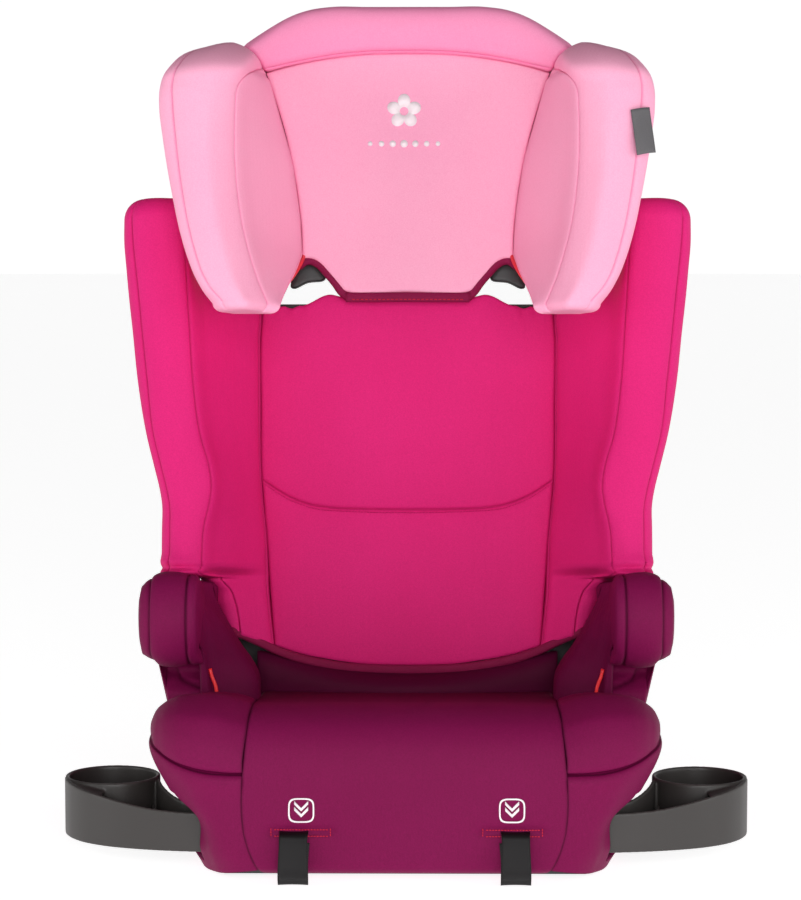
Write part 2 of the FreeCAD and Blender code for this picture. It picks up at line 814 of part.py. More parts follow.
def latch_connector(word, sign):
    """Housing of a lower-anchor connector, stowed in the back of the base."""
    body = new_body(f"latch_connector_{word}")
    middle = sign * S["anchor_x"]
    outline = top_view(body, S["anchor_bottom"])
    rectangle(outline, middle - S["anchor_half"], middle + S["anchor_half"],
              S["anchor_front"], S["anchor_rear"])
    pad(body, outline, S["anchor_top"] - S["anchor_bottom"])
    mouth = side_view(body, middle)
    rectangle(mouth, S["anchor_rear"] - S["anchor_slot_depth"], S["anchor_rear"] + 2,
              S["anchor_bottom"] + 7, S["anchor_bottom"] + 15)
    pocket(body, mouth, S["anchor_half"] * 2 + 4, both=True)
    well = top_view(body, S["anchor_top"])
    play = S["slack"]
    rectangle(well, middle - S["anchor_button_half"] - play,
              middle + S["anchor_button_half"] + play,
              S["anchor_button_front"] - play,
              S["anchor_button_front"] + S["anchor_button_length"] + play)
    pocket(body, well, S["anchor_button_height"])
    return body


def latch_hook(word, sign):
    """Steel jaw above the mouth of a connector."""
    start = S["anchor_rear"] - S["anchor_slot_depth"] + 1
    hook = box(f"latch_hook_{word}", sign * S["anchor_x"] - 1.5, start, S["anchor_bottom"] + 9,
               3, 4, 6)
    hook.Label = f"latch_hook_{word}"
    return hook


def latch_button(word, sign):
    """Push button that opens the jaw."""
    travel = S["anchor_button_travel"]
    bottom = S["anchor_top"] - S["anchor_button_height"] + travel + 0.5
    button = box(f"latch_button_{word}", sign * S["anchor_x"] - S["anchor_button_half"],
                 S["anchor_button_front"], bottom,
                 S["anchor_button_half"] * 2, S["anchor_button_length"],
                 S["anchor_button_height"] + 1)
    button.Label = f"latch_button_{word}"
    return button


# ---------------------------------------------------------------- backrest (upright)

def back_row(index):
    return tuple(S[f"back_{word}"] for word in
                 (f"height_{index}_z", f"outer_{index}_x", f"inner_{index}_x", f"centre_{index}_x"))


def backrest_shell():
    """Hard back with a column for the height adjustment and open shoulders beside it."""
    body = new_body("backrest_shell")
    rim = S["back_opening_bottom"]
    column = S["back_column_half"]
    outline = front_view(body, S["back_shell_rear"])
    polygon(outline, both_halves([
        (150, S["back_shell_bottom"]), (172, 160), (176, S["wing_bottom"] - 1),
        (222, S["wing_bottom"] + 1), (228, 330), (244, 420), (250, 506), (250, 556), (232, 564),
        (200, 564), (190, 510), (176, rim), (column, rim), (column, S["back_column_top"]),
    ]))
    depth = S["back_shell_rear"] - S["back_pad_rear"]
    pad(body, outline, depth)
    channel = front_view(body, S["back_pad_rear"])
    rectangle(channel, -S["channel_half"], S["channel_half"],
              S["channel_bottom"], S["back_column_top"] + 5)
    pocket(body, channel, S["channel_depth"])
    racks = front_view(body, S["back_pad_rear"])
    for sign in SIDES.values():
        rectangle(racks, sign * (S["channel_half"] - 1), sign * S["rack_back"],
                  S["rack_bottom"], S["rack_top"])
    pocket(body, racks, S["rack_rear"] - S["back_pad_rear"])
    for sign in SIDES.values():
        slot = side_view(body, sign * S["hook_x"])
        rectangle(slot, S["hook_arm_front"], S["back_shell_rear"] + 2,
                  S["back_shell_bottom"] - 2, S["hook_top"])
        pocket(body, slot, S["hook_half"] * 2, both=True)
    threads = front_view(body, S["back_shell_rear"] - S["screw_length"] + 10)
    for x, z in spine_screw_places():
        circle(threads, x, z, S["screw_radius"])
    pocket(body, threads, S["screw_length"] + 10)
    return body


def spine_screw_places():
    return [(sign * 66, z) for sign in (-1, 1) for z in (170, 300, 440)]


def backrest_rear_cover():
    """Cover over the middle of the back."""
    body = new_body("backrest_rear_cover")
    half = S["spine_half"]
    outline = front_view(body, S["spine_rear"])
    polygon(outline, both_halves([
        (half - 14, S["spine_bottom"]), (half, S["spine_bottom"] + 14),
        (half, S["spine_top"] - 14), (half - 14, S["spine_top"]),
    ]))
    pad(body, outline, S["spine_rear"] - S["back_shell_rear"])
    heads = front_view(body, S["spine_rear"] - S["screw_head_thick"])
    shanks = front_view(body, S["back_shell_rear"])
    for x, z in spine_screw_places():
        circle(heads, x, z, S["screw_head_radius"] + 0.5)
        circle(shanks, x, z, S["screw_radius"])
    pocket(body, heads, S["screw_head_thick"])
    pocket(body, shanks, S["spine_rear"] - S["back_shell_rear"])
    return body


def rear_cover_screws():
    pieces = []
    for number, (x, z) in enumerate(spine_screw_places()):
        head = S["spine_rear"] - S["screw_head_thick"]
        tail = head - S["screw_length"]
        pieces.append(cylinder(f"cover_screw_head_{number}", S["screw_head_radius"],
                               S["screw_head_thick"], x, head, z, "y"))
        pieces.append(cylinder(f"cover_screw_shank_{number}", S["screw_radius"],
                               S["screw_length"], x, tail, z, "y"))
    return joined("rear_cover_screws", pieces)


def backrest_center_pad():
    body = new_body("backrest_center_pad")
    gap = 2 * S["gap"]
    right = [(107, 140), (126, 148), (130, 195)]
    for index in range(4):
        height, _, _, centre = back_row(index)
        right.append((centre - gap, height))
    right += [(126, S["back_pad_top"] - 2), (70, S["back_pad_top"])]
    outline = front_view(body, S["back_pad_rear"])
    polygon(outline, both_halves([(40, 131)] + right))
    pad(body, outline, S["back_pad_rear"] - S["back_pad_front"])
    return body


def wing_section(body, index, sign):
    height, outer, inner, centre = back_row(index)
    front = -S["wing_front"]
    section = top_view(body, height)
    polygon(section, [(sign * x, y) for x, y in (
        (outer, front + 22), (outer - 9, front + 2), (outer - 24, front), (inner + 8, front + 1),
        (inner, front + 14), (centre, S["back_pad_front"]), (centre, S["back_pad_rear"]),
        (outer - 8, S["back_pad_rear"]), (outer, S["back_pad_rear"] - 24),
    )])
    return section


def hip_section(body, sign, height, outer, inner, front):
    section = top_view(body, height)
    rear = S["back_pad_rear"]
    polygon(section, [(sign * x, y) for x, y in (
        (outer, front + 8), (outer - 8, front), (inner, S["back_pad_front"]), (inner, rear),
        (outer, rear),
    )])
    return section


def backrest_wing(word, sign):
    """Padded side wing; below the armrests it narrows to pass between them."""
    body = new_body(f"backrest_wing_{word}")
    bottom = S["wing_bottom"]
    loft(body, [wing_section(body, index, sign) for index in range(len(BACK_WING))])
    low = hip_section(body, sign, S["hip_pad_bottom"], 166, 129, 76)
    high = hip_section(body, sign, bottom, 176, 134, 60)
    loft(body, [low, high])
    return body


def backrest_hem():
    """Elastic binding along the lower edge of the centre pad."""
    body = new_body("backrest_hem")
    upper = [(0, 130.6), (40, 130.6), (107, 139.6), (126, 147.6)]
    lower = [(as_size(x), as_size(z) - 8) for x, z in upper]
    right = [lower[1], lower[2], (134, 144), (128, 149.4), (126, 147.6), (107, 139.6), (40, 130.6)]
    outline = front_view(body, S["back_pad_front"] + 9)
    polygon(outline, both_halves(right))
    pad(body, outline, 8)
    return body


def hinge_hook(word, sign):
    """Hook plate that holds the backrest on the hinge rod."""
    body = new_body(f"hinge_hook_{word}")
    start = sign * S["hook_x"] - S["hook_half"]
    arm = side_view(body, start)
    rectangle(arm, S["hook_arm_front"] + 1, S["hook_arm_rear"], S["hinge_z"] + 3, S["hook_top"])
    pad(body, arm, S["hook_half"] * 2)
    ring = side_view(body, start)
    circle(ring, S["hinge_y"], S["hinge_z"], S["hook_eye_radius"])
    pad(body, ring, S["hook_half"] * 2)
    bore = side_view(body, start)
    circle(bore, S["hinge_y"], S["hinge_z"], S["rod_radius"] + S["rod_clearance"])
    pocket(body, bore, S["hook_half"] * 2, reverse=True)
    return body


def height_rack(word, sign):
    """Toothed strip beside the channel; the lock bolts drop between its teeth."""
    body = new_body(f"height_rack_{word}")
    bar = front_view(body, S["rack_rear"])
    rectangle(bar, sign * S["rack_root"], sign * S["rack_back"], S["rack_bottom"], S["rack_top"])
    depth = S["rack_rear"] - S["rack_front"]
    pad(body, bar, depth)
    first = S["bolt_z"] - S["pitch"] * 0.5
    tooth = front_view(body, S["rack_rear"])
    polygon(tooth, [(sign * x, z) for x, z in (
        (S["rack_root"] + 1, first - S["tooth"] * 0.5),
        (S["rack_root"] + 1, first + S["tooth"] * 0.5),
        (S["rack_tip"], first + S["tooth"] * 0.5 - 1), (S["rack_tip"], first - S["tooth"] * 0.5 + 1),
    )])
    tooth_pad = pad(body, tooth, depth)
    row = body.newObject("PartDesign::LinearPattern", body.Name + "_row")
    row.Originals = [tooth_pad]
    row.Direction = (tooth, ["V_Axis"])
    bind(row, "Length", S["pitch"] * (S["tooth_count"] - 1))
    bind(row, "Occurrences", S["tooth_count"])
    body.Tip = row
    DOC.recompute()
    return body


# ---------------------------------------------------------------- headrest (upright)

def head_row(index):
    return tuple(S[f"head_{word}_{index}_v"] for word in
                 ("height", "outer", "inner", "seam", "rear", "depth"))


def headrest_screw_places():
    return [(sign * 30, z) for sign in (-1, 1) for z in (600, 680)]


def headrest_shell():
    body = new_body("headrest_shell")
    top = S["head_top"]
    hem = S["head_hem"]
    outline = front_view(body, S["head_shell_rear"])
    polygon(outline, both_halves([
        (58, hem + 12), (62, hem + 46), (128, hem + 48), (150, hem + 74), (166, hem + 114),
        (174, 650), (170, 700), (153, top - 42), (132, top - 30), (101, top - 18),
        (72, top - 8),
    ]))
    pad(body, outline, S["head_shell_rear"] - S["head_shell_front"])
    threads = front_view(body, S["head_shell_rear"] - 10)
    for x, z in headrest_screw_places():
        circle(threads, x, z, S["screw_radius"])
    pocket(body, threads, 12)
    return body


def headrest_slider():
    """Tongue of the headrest that runs in the channel of the backrest."""
    body = new_body("headrest_slider")
    half = S["slider_half"]
    outline = front_view(body, S["slider_rear"])
    rectangle(outline, -half, half, S["slider_bottom"], S["slider_top"])
    pad(body, outline, S["slider_rear"] - S["slider_front"])
    play = S["slack"]
    groove = front_view(body, S["bolt_front"] - play)
    rectangle(groove, -S["link_half"] - play, S["link_half"] + play,
              S["link_bottom"] - play, S["slider_top"] + 5)
    pocket(body, groove, 20)
    bores = front_view(body, S["bolt_front"] - play)
    for sign in SIDES.values():
        rectangle(bores, sign * (S["bolt_inner"] - S["bolt_travel"] - play), sign * (half + 2),
                  S["bolt_z"] - S["bolt_half"] - play, S["bolt_z"] + S["bolt_half"] + play)
    pocket(body, bores, S["bolt_rear"] - S["bolt_front"] + 2 * play)
    holes = front_view(body, S["slider_front"])
    for x, z in headrest_screw_places():
        circle(holes, x, z, S["screw_radius"])
    pocket(body, holes, 20)
    return body


def headrest_spacer():
    """Block between the tongue and the hard back of the headrest."""
    body = new_body("headrest_spacer")
    outline = front_view(body, S["slider_front"])
    rectangle(outline, -S["slider_half"], S["slider_half"], 590, 695)
    pad(body, outline, S["slider_front"] - S["head_shell_rear"])
    holes = front_view(body, S["head_shell_rear"])
    for x, z in headrest_screw_places():
        circle(holes, x, z, S["screw_radius"])
    pocket(body, holes, S["slider_front"] - S["head_shell_rear"])
    return body


def headrest_screws():
    pieces = []
    for number, (x, z) in enumerate(headrest_screw_places()):
        pieces.append(cylinder(f"head_screw_{number}", S["screw_head_radius"],
                               S["screw_head_thick"], x, S["slider_rear"], z, "y"))
        pieces.append(cylinder(f"head_screw_shank_{number}", S["screw_radius"],
                               S["slider_rear"] - S["head_shell_rear"] + 10,
                               x, S["head_shell_rear"] - 10, z, "y"))
    return joined("headrest_screws", pieces)


def headrest_center_pad():
    """Middle pad of the headrest, with the two arches beside its lower edge."""
    body = new_body("headrest_center_pad")
    hem = S["head_hem"]
    gap = 2 * S["gap"]
    right = [(56, hem), (60, hem + 8), (66, hem + 19), (76, hem + 32), (88, hem + 40)]
    for index in range(2, 8):
        height, _, _, seam, _, _ = head_row(index)
        right.append((seam - gap, height))
    right.append((74, 730))
    outline = front_view(body, S["head_shell_front"])
    polygon(outline, both_halves(right))
    pad(body, outline, S["head_shell_front"] - S["head_pad_front"])
    return body


def headrest_top_pad():
    """Top roll of the headrest."""
    body = new_body("headrest_top_pad")
    top = S["head_top"]
    outline = front_view(body, S["head_shell_front"])
    polygon(outline, both_halves([
        (74, 731), (133.4, 709), (157, top - 34), (134, top - 22), (103, top - 10), (74, top),
    ]))
    pad(body, outline, 33)
    return body


def headrest_wing_section(body, index, sign):
    height, outer, inner, seam, rear, depth = head_row(index)
    front = -S["head_front"]
    section = top_view(body, height)
    polygon(section, [(sign * x, y) for x, y in (
        (outer, front + 18), (outer - 12, front), (inner + 12, front), (inner, front + 14),
        (seam, depth - 24), (seam, depth), (rear, depth),
    )])
    return section


def headrest_wing(word, sign):
    body = new_body(f"headrest_wing_{word}")
    loft(body, [headrest_wing_section(body, index, sign) for index in range(len(HEAD_WING))])
    return body


def shoulder_belt_guide(word, sign):
    """Hook below the arch of the headrest that the shoulder belt is threaded through."""
    body = new_body(f"shoulder_belt_guide_{word}")
    top = S["head_hem"] + 46
    outline = front_view(body, S["head_shell_rear"] - 2)
    polygon(outline, [(sign * x, z) for x, z in (
        (64, top), (116, top), (118, top - 20), (106, top - 27), (70, top - 27), (70, top - 23),
        (104, top - 23), (111, top - 18), (110, top - 8), (70, top - 8),
    )])
    pad(body, outline, 11)
    return body


def side_label():
    """Plain fabric tab on the outside of the right head wing."""
    body = new_body("side_label")
    outline = front_view(body, -40)
    polygon(outline, ((223.2, 606), (229, 646), (230.4, 646), (224.6, 606)))
    pad(body, outline, 18)
    return body


# ---------------------------------------------------------------- release mechanism (upright)

def release_lever():
    """Squeeze handle behind the top of the headrest."""
    body = new_body("release_lever")
    half = S["lever_half"]
    outline = front_view(body, S["lever_rear"])
    polygon(outline, both_halves([
        (half - 8, S["lever_bottom"]), (half, S["lever_bottom"] + 6), (half, S["lever_top"] - 6),
        (half - 8, S["lever_top"]),
    ]))
    pad(body, outline, S["lever_rear"] - S["slider_rear"] - 1)
    return body


def release_link():
    """Flat bar from the handle down to the lock bolts."""
    bar = box("release_link_bar", -S["link_half"], S["bolt_front"], S["link_bottom"],
              S["link_half"] * 2, S["bolt_rear"] - S["bolt_front"],
              S["link_top"] - S["link_bottom"])
    neck = box("release_link_neck", -S["link_half"], S["bolt_rear"], S["lever_bottom"] + 6,
               S["link_half"] * 2, S["slider_rear"] + 1 - S["bolt_rear"], 8)
    return joined("release_link", [bar, neck])


def lock_bolt(word, sign):
    """Bolt that drops between the rack teeth."""
    body = new_body(f"lock_bolt_{word}")
    outline = front_view(body, S["bolt_rear"])
    rectangle(outline, sign * S["bolt_inner"], sign * S["bolt_tip"],
              S["bolt_z"] - S["bolt_half"], S["bolt_z"] + S["bolt_half"])
    pad(body, outline, S["bolt_rear"] - S["bolt_front"])
    return body


# ---------------------------------------------------------------- the whole seat

def lean_back(part):
    """Leans an upright part back about the hinge rod."""
    pivot = FreeCAD.Vector(0, S["hinge_y"].value, S["hinge_z"].value)
    turn = FreeCAD.Rotation(FreeCAD.Vector(1, 0, 0), -S["lean"].value)
    leaned = FreeCAD.Placement(FreeCAD.Vector(0, 0, 0), turn, pivot)
    part.Placement = leaned.multiply(part.Placement)


def build_base():
    parts = [base_core(), base_underside_cover(), anti_slip_pads(), underside_screws(),
             seat_cushion(), seat_rear_band(), hinge_rod()]
    for word, sign in SIDES.items():
        parts += [maker(word, sign) for maker in (
            thigh_bolster, base_side_panel, armrest_core, armrest_cover, armrest_inner_pad,
            lap_belt_guide, cup_holder_pin, cup_holder, latch_strap, latch_connector,
            latch_hook, latch_button,
        )]
    return parts


def build_leaning():
    parts = [backrest_shell(), backrest_rear_cover(), rear_cover_screws(), backrest_center_pad(),
             backrest_hem(), headrest_shell(), headrest_slider(), headrest_spacer(),
             headrest_screws(), headrest_center_pad(), headrest_top_pad(), side_label(),
             release_lever(), release_link()]
    for word, sign in SIDES.items():
        parts += [maker(word, sign) for maker in (
            backrest_wing, hinge_hook, height_rack, headrest_wing, shoulder_belt_guide,
            lock_bolt,
        )]
    return parts


def check(parts):
    for thing in DOC.Objects:
        if "Invalid" in thing.State or "Error" in thing.State:
            raise RuntimeError(f"{thing.Label} is {thing.State}")
    for part in parts:
        if part.Shape.isNull() or not part.Shape.isValid():
            raise RuntimeError(f"the shape of {part.Label} is not valid")


def write(parts):
    os.makedirs("parts", exist_ok=True)
    for part in parts:
        part.Shape.exportStep(os.path.join("parts", part.Label + ".step"))
        print(part.Label, len(part.Shape.Solids), round(part.Shape.Volume / 1000, 1))


def main():
    upright = build_base()
    leaning = build_leaning()
    DOC.recompute()
    for part in leaning:
        lean_back(part)
    DOC.recompute()
    check(upright + leaning)
    write(upright + leaning)


main()
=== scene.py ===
import json
import math
import bmesh
import bpy
import numpy as np
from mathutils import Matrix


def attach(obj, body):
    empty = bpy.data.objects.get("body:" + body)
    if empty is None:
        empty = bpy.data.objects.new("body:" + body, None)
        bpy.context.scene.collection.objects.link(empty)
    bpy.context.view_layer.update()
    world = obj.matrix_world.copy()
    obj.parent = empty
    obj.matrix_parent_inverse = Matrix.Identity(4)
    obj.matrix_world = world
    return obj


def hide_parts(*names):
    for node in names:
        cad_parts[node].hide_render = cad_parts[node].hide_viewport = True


# High-back booster seat. Shapes are written in millimetres for the right-hand side (+X) and
# mirrored; leaning pieces are written upright and then leaned back about the recline hinge.

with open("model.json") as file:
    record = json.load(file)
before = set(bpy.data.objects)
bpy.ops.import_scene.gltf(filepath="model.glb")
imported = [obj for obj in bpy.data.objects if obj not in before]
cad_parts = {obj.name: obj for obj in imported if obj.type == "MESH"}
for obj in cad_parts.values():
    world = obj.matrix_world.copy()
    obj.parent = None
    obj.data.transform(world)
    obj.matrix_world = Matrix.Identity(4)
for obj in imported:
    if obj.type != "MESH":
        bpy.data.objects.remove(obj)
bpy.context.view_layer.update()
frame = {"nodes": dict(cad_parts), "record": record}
JOINTS = {joint["name"]: joint for joint in frame["record"]["behaviour"]["joints"]}
HINGE = [value * 1000 for value in JOINTS["backrest_recline"]["pos_m"]]
LEAN = math.asin(JOINTS["headrest_height"]["axis"][1])
SIDES = {"left": -1, "right": 1}
SEAM_STEPS = (0.0, 0.7, 1.5, 2.8, 5.0, 8.0)
SEAM_WIDTH = 1.1
NO_SEAM = 99.0
MOST_DRAWN_IN = 0.62


# ---------------------------------------------------------------- numbers and curves

def to_world(points, leaning):
    """Millimetres of the drawing to metres of the frame."""
    p = np.array(points, float).reshape(-1, 3)
    if leaning:
        y = p[:, 1] - HINGE[1]
        z = p[:, 2] - HINGE[2]
        p[:, 1] = HINGE[1] + y * math.cos(LEAN) + z * math.sin(LEAN)
        p[:, 2] = HINGE[2] - y * math.sin(LEAN) + z * math.cos(LEAN)
    return p / 1000.0


def cubic(t, start, start_slope, end, end_slope):
    """Cubic through two points with the slopes given at them."""
    return ((2 * t ** 3 - 3 * t ** 2 + 1) * start + (t ** 3 - 2 * t ** 2 + t) * start_slope
            + (3 * t ** 2 - 2 * t ** 3) * end + (t ** 3 - t ** 2) * end_slope)


def curve(knots, values, at):
    """Smooth interpolation of table values, exact at the knots."""
    knots = np.asarray(knots, float)
    values = np.asarray(values, float)
    flat = values.reshape(len(knots), -1)
    step = np.diff(knots)
    slope = np.diff(flat, axis=0) / step[:, None]
    tangent = np.empty_like(flat)
    both = (step[:-1] + step[1:])[:, None]
    tangent[1:-1] = (slope[:-1] * step[1:, None] + slope[1:] * step[:-1, None]) / both
    tangent[0] = slope[0]
    tangent[-1] = slope[-1]
    at = np.asarray(at, float)
    i = np.clip(np.searchsorted(knots, at, side="right") - 1, 0, len(knots) - 2)
    h = step[i][:, None]
    t = ((at - knots[i]) / step[i])[:, None]
    out = cubic(t, flat[i], h * tangent[i], flat[i + 1], h * tangent[i + 1])
    return out.reshape((len(at),) + values.shape[1:])


def table(rows, at):
    """Columns of a table whose first column is the knot."""
    rows = np.asarray(rows, float)
    return curve(rows[:, 0], rows[:, 1:], at)


def dense_loop(points, closed, sub=14):
    """A smooth line through 3-D points, and the arc length at each of them."""
    p = np.asarray(points, float)
    n = len(p)
    before = np.roll(p, 1, axis=0)
    after = np.roll(p, -1, axis=0)
    tangent = (after - before) / 2
    if not closed:
        tangent[0] = p[1] - p[0]
        tangent[-1] = p[-1] - p[-2]
    count = n if closed else n - 1
    t = np.linspace(0, 1, sub, endpoint=False)[:, None]
    parts = []
    for i in range(count):
        j = (i + 1) % n
        chord = np.linalg.norm(p[j] - p[i])
        scale_i = min(1.0, chord / max(np.linalg.norm(tangent[i]), 1e-6))
        scale_j = min(1.0, chord / max(np.linalg.norm(tangent[j]), 1e-6))
        parts.append(cubic(t, p[i], tangent[i] * scale_i, p[j], tangent[j] * scale_j))
    line = np.vstack(parts + [p[:1] if closed else p[-1:]])
    length = np.concatenate([[0], np.cumsum(np.linalg.norm(np.diff(line, axis=0), axis=1))])
    return line, length, length[::sub]


def along(line, length, at):
    """Points of a smooth line at the given arc lengths."""
    return np.stack([np.interp(at, length, line[:, k]) for k in range(3)], axis=1)


def circle(cx, cy, radius, count, turn=0.0):
    """Points round a centre."""
    angles = [2 * math.pi * k / count + turn for k in range(count)]
    return [(cx + radius * math.cos(a), cy + radius * math.sin(a)) for a in angles]


def even_places(points, count):
    """Evenly spaced points of the smooth line through the given points."""
    line, length, _ = dense_loop(points, False)
    return along(line, length, np.linspace(0, length[-1], count))


def seam_places(start, end, count, seam_start, seam_end):
    """Places along one span, closer together beside a seam."""
    span = end - start
    scale = min(1.0, span / (SEAM_STEPS[-1] * 2.4))
    head = [s * scale for s in SEAM_STEPS] if seam_start else [0.0]
    tail = [span - s * scale for s in reversed(SEAM_STEPS[1:])] if seam_end else []
    upper = tail[0] if tail else span
    middle = list(np.linspace(head[-1], upper, count + 2)[1:-1])
    return [start + value for value in head + middle + tail]


def columns(points, counts, seams, closed=True):
    """One row of a skin: points along the line and their distance from the nearest seam."""
    line, length, marks = dense_loop(points, closed)
    n = len(points)
    places = []
    for k, count in enumerate(counts):
        places += seam_places(marks[k], marks[k + 1], count, k in seams, (k + 1) % n in seams)
    if not closed:
        places.append(marks[-1])
    places = np.array(places)
    near = np.full(len(places), NO_SEAM)
    for k in seams:
        for mark in ([marks[k], marks[-1]] if closed and k == 0 else [marks[k]]):
            near = np.minimum(near, np.abs(places - mark))
    return along(line, length, places), near


def both_ways(shares):
    """The same steps to the left and to the right of the middle."""
    return np.concatenate([-shares[::-1], shares[1:]])


def spaced(low, high, count, seams=()):
    """Row knots from low to high, with a fine group round each seam value."""
    knots = set(np.round(np.linspace(low, high, count), 3))
    for seam in seams:
        for step in SEAM_STEPS:
            for value in (seam - step, seam + step):
                if low <= value <= high:
                    knots.add(round(value, 3))
    ordered = sorted(knots)
    kept = [ordered[0]]
    for value in ordered[1:-1]:
        fine = any(abs(value - seam) <= SEAM_STEPS[-1] + 0.01 for seam in seams)
        if value - kept[-1] > (0.5 if fine else 1.5):
            kept.append(value)
    return np.array(kept + [ordered[-1]])


def skin(rows, counts, seams, closed=True):
    """Grid of points (rows x columns) and seam distances from rows of control points."""
    made = [columns(row, counts, seams, closed) for row in rows]
    return np.stack([m[0] for m in made]), np.stack([m[1] for m in made])


def grid_normals(grid, closed):
    """Unit normals of a grid of points; closed grids join their last column to the first."""
    if closed:
        across = np.roll(grid, -1, axis=1) - np.roll(grid, 1, axis=1)
    else:
        across = np.gradient(grid, axis=1)
    along_rows = np.gradient(grid, axis=0)
    normal = np.cross(across, along_rows)
    size = np.linalg.norm(normal, axis=2, keepdims=True)
    return normal / np.maximum(size, 1e-9)


def outward(grid, closed):
    """Normals that point away from the middle of each row."""
    normal = grid_normals(grid, closed)
    middle = grid.mean(axis=1, keepdims=True)
    side = np.sum(normal * (grid - middle))
    return normal if side > 0 else -normal


def sewn(grid, near, normal, depth=1.3, swell=1.6, reach=9.0):
    """Presses the seams in: a sharp groove and a soft shoulder beside it."""
    press = depth * np.exp(-(near / 1.0) ** 2) + swell * np.exp(-near / reach * 2)
    return grid - normal * press[..., None]


def rounded_end(grid, near, radius, top, steps=7, inset=None):
    """Adds rows that round one end of a closed skin over, drawing in towards its middle."""
    edge = grid[-1] if top else grid[0]
    middle = edge.mean(axis=0)
    spread = edge - middle
    size = np.linalg.norm(spread, axis=1)
    drawn_in = inset or radius
    reach = np.minimum(drawn_in / np.maximum(size, 1e-6), MOST_DRAWN_IN)
    reach = 0.5 * reach + 0.5 * np.minimum(drawn_in / size.mean(), MOST_DRAWN_IN)
    shift = np.array((0, 0, radius if top else -radius), float)
    rows, marks = [], []
    for k in range(1, steps + 1):
        a = math.pi / 2 * k / steps
        rows.append(edge - spread * (reach * (1 - math.cos(a)))[:, None] + shift * math.sin(a))
        marks.append((near[-1] if top else near[0]) + 3.0 * k)
    extra, mark = np.stack(rows), np.stack(marks)
    if top:
        return np.concatenate([grid, extra]), np.concatenate([near, mark])
    return np.concatenate([extra[::-1], grid]), np.concatenate([mark[::-1], near])


# ---------------------------------------------------------------- meshes

def mesh_object(name, verts, faces, seam=None):
    """A mesh in the scene; seam is how much darker each vertex is: darker thread in the seams, plus
    painted shade added later.
    """
    mesh = bpy.data.meshes.new(name)
    mesh.from_pydata([tuple(v) for v in verts], [], [tuple(f) for f in faces])
    mesh.update()
    if seam is not None:
        layer = mesh.attributes.new("seam", "FLOAT", "POINT")
        layer.data.foreach_set("value", np.asarray(seam, np.float32).ravel())
    obj = bpy.data.objects.new(name, mesh)
    bpy.context.collection.objects.link(obj)
    tidy_mesh(mesh)
    return obj


def tidy_mesh(mesh):
    """Joins equal vertices, turns all faces outward and shades them smoothly."""
    work = bmesh.new()
    work.from_mesh(mesh)
    bmesh.ops.remove_doubles(work, verts=work.verts, dist=1e-6)
    bmesh.ops.dissolve_degenerate(work, edges=work.edges, dist=1e-7)
    bmesh.ops.recalc_face_normals(work, faces=work.faces)
    work.to_mesh(mesh)
    work.free()
    mesh.polygons.foreach_set("use_smooth", [True] * len(mesh.polygons))
    mesh.update()


def grid_faces(rows, cols, closed, ring=False):
    """Faces of a grid; closed joins its last column to the first, and ring its last row."""
    faces = []
    for r in range(rows if ring else rows - 1):
        for c in range(cols if closed else cols - 1):
            d, e = (c + 1) % cols, (r + 1) % rows
            faces.append((r * cols + c, r * cols + d, e * cols + d, e * cols + c))
    return faces


def tube_faces(rows, cols):
    """Faces of a closed grid with a flat cap at both ends."""
    faces = grid_faces(rows, cols, True)
    return faces + [tuple(range(cols))[::-1], tuple((rows - 1) * cols + k for k in range(cols))]


def shifted(faces, offset):
    """The same faces with every vertex number moved on by the offset."""
    return [tuple(i + offset for i in face) for face in faces]


def two_sided(front, back):
    """A closed sheet from two grids of the same shape: both faces and the wall round them."""
    rows, cols, _ = front.shape
    offset = rows * cols
    verts = list(front.reshape(-1, 3)) + list(back.reshape(-1, 3))
    faces = grid_faces(rows, cols, False)
    faces += shifted([face[::-1] for face in faces], offset)
    rim = ([c for c in range(cols)] + [r * cols + cols - 1 for r in range(1, rows)]
           + [(rows - 1) * cols + c for c in range(cols - 2, -1, -1)]
           + [r * cols for r in range(rows - 2, 0, -1)])
    for k, a in enumerate(rim):
        b = rim[(k + 1) % len(rim)]
        faces.append((a, b, b + offset, a + offset))
    return verts, faces


def skin_object(name, grid, near, leaning, sign=1):
    """A closed skin: the grid's columns go round, and its two ends are filled in."""
    grid = grid * np.array([sign, 1, 1])
    rows, cols, _ = grid.shape
    verts = list(grid.reshape(-1, 3))
    faces = grid_faces(rows, cols, True)
    seam = list(np.exp(-(near / SEAM_WIDTH) ** 2).ravel())
    for row, ring in ((0, grid[0]), (rows - 1, grid[-1])):
        middle = ring.mean(axis=0)
        previous = [row * cols + c for c in range(cols)]
        for share in (0.6, 0.25):
            start = len(verts)
            verts += list(middle + (ring - middle) * share)
            seam += [0.0] * cols
            for c in range(cols):
                d = (c + 1) % cols
                faces.append((previous[c], previous[d], start + d, start + c))
            previous = list(range(start, start + cols))
        verts.append(middle)
        seam.append(0.0)
        last = len(verts) - 1
        faces += [(previous[c], previous[(c + 1) % cols], last) for c in range(cols)]
    return mesh_object(name, to_world(verts, leaning), faces, seam)


def tube(points, radius, sides, squash=1.0, steps=None):
    """Points and faces of a round tube along a smooth line through the points."""
    line, length, _ = dense_loop(points, False)
    count = steps or max(8, int(length[-1] / 2.5))
    path = along(line, length, np.linspace(0, length[-1], count))
    forward = np.gradient(path, axis=0)
    forward /= np.linalg.norm(forward, axis=1, keepdims=True)
    verts = []
    guide = np.array([0.0, 1.0, 0.0])
    for p, f in zip(path, forward):
        side = np.cross(f, guide)
        side /= max(np.linalg.norm(side), 1e-6)
        up = np.cross(side, f)
        for k in range(sides):
            a = 2 * math.pi * k / sides
            verts.append(p + side * radius * math.cos(a) + up * radius * squash * math.sin(a))
    return verts, tube_faces(count, sides)


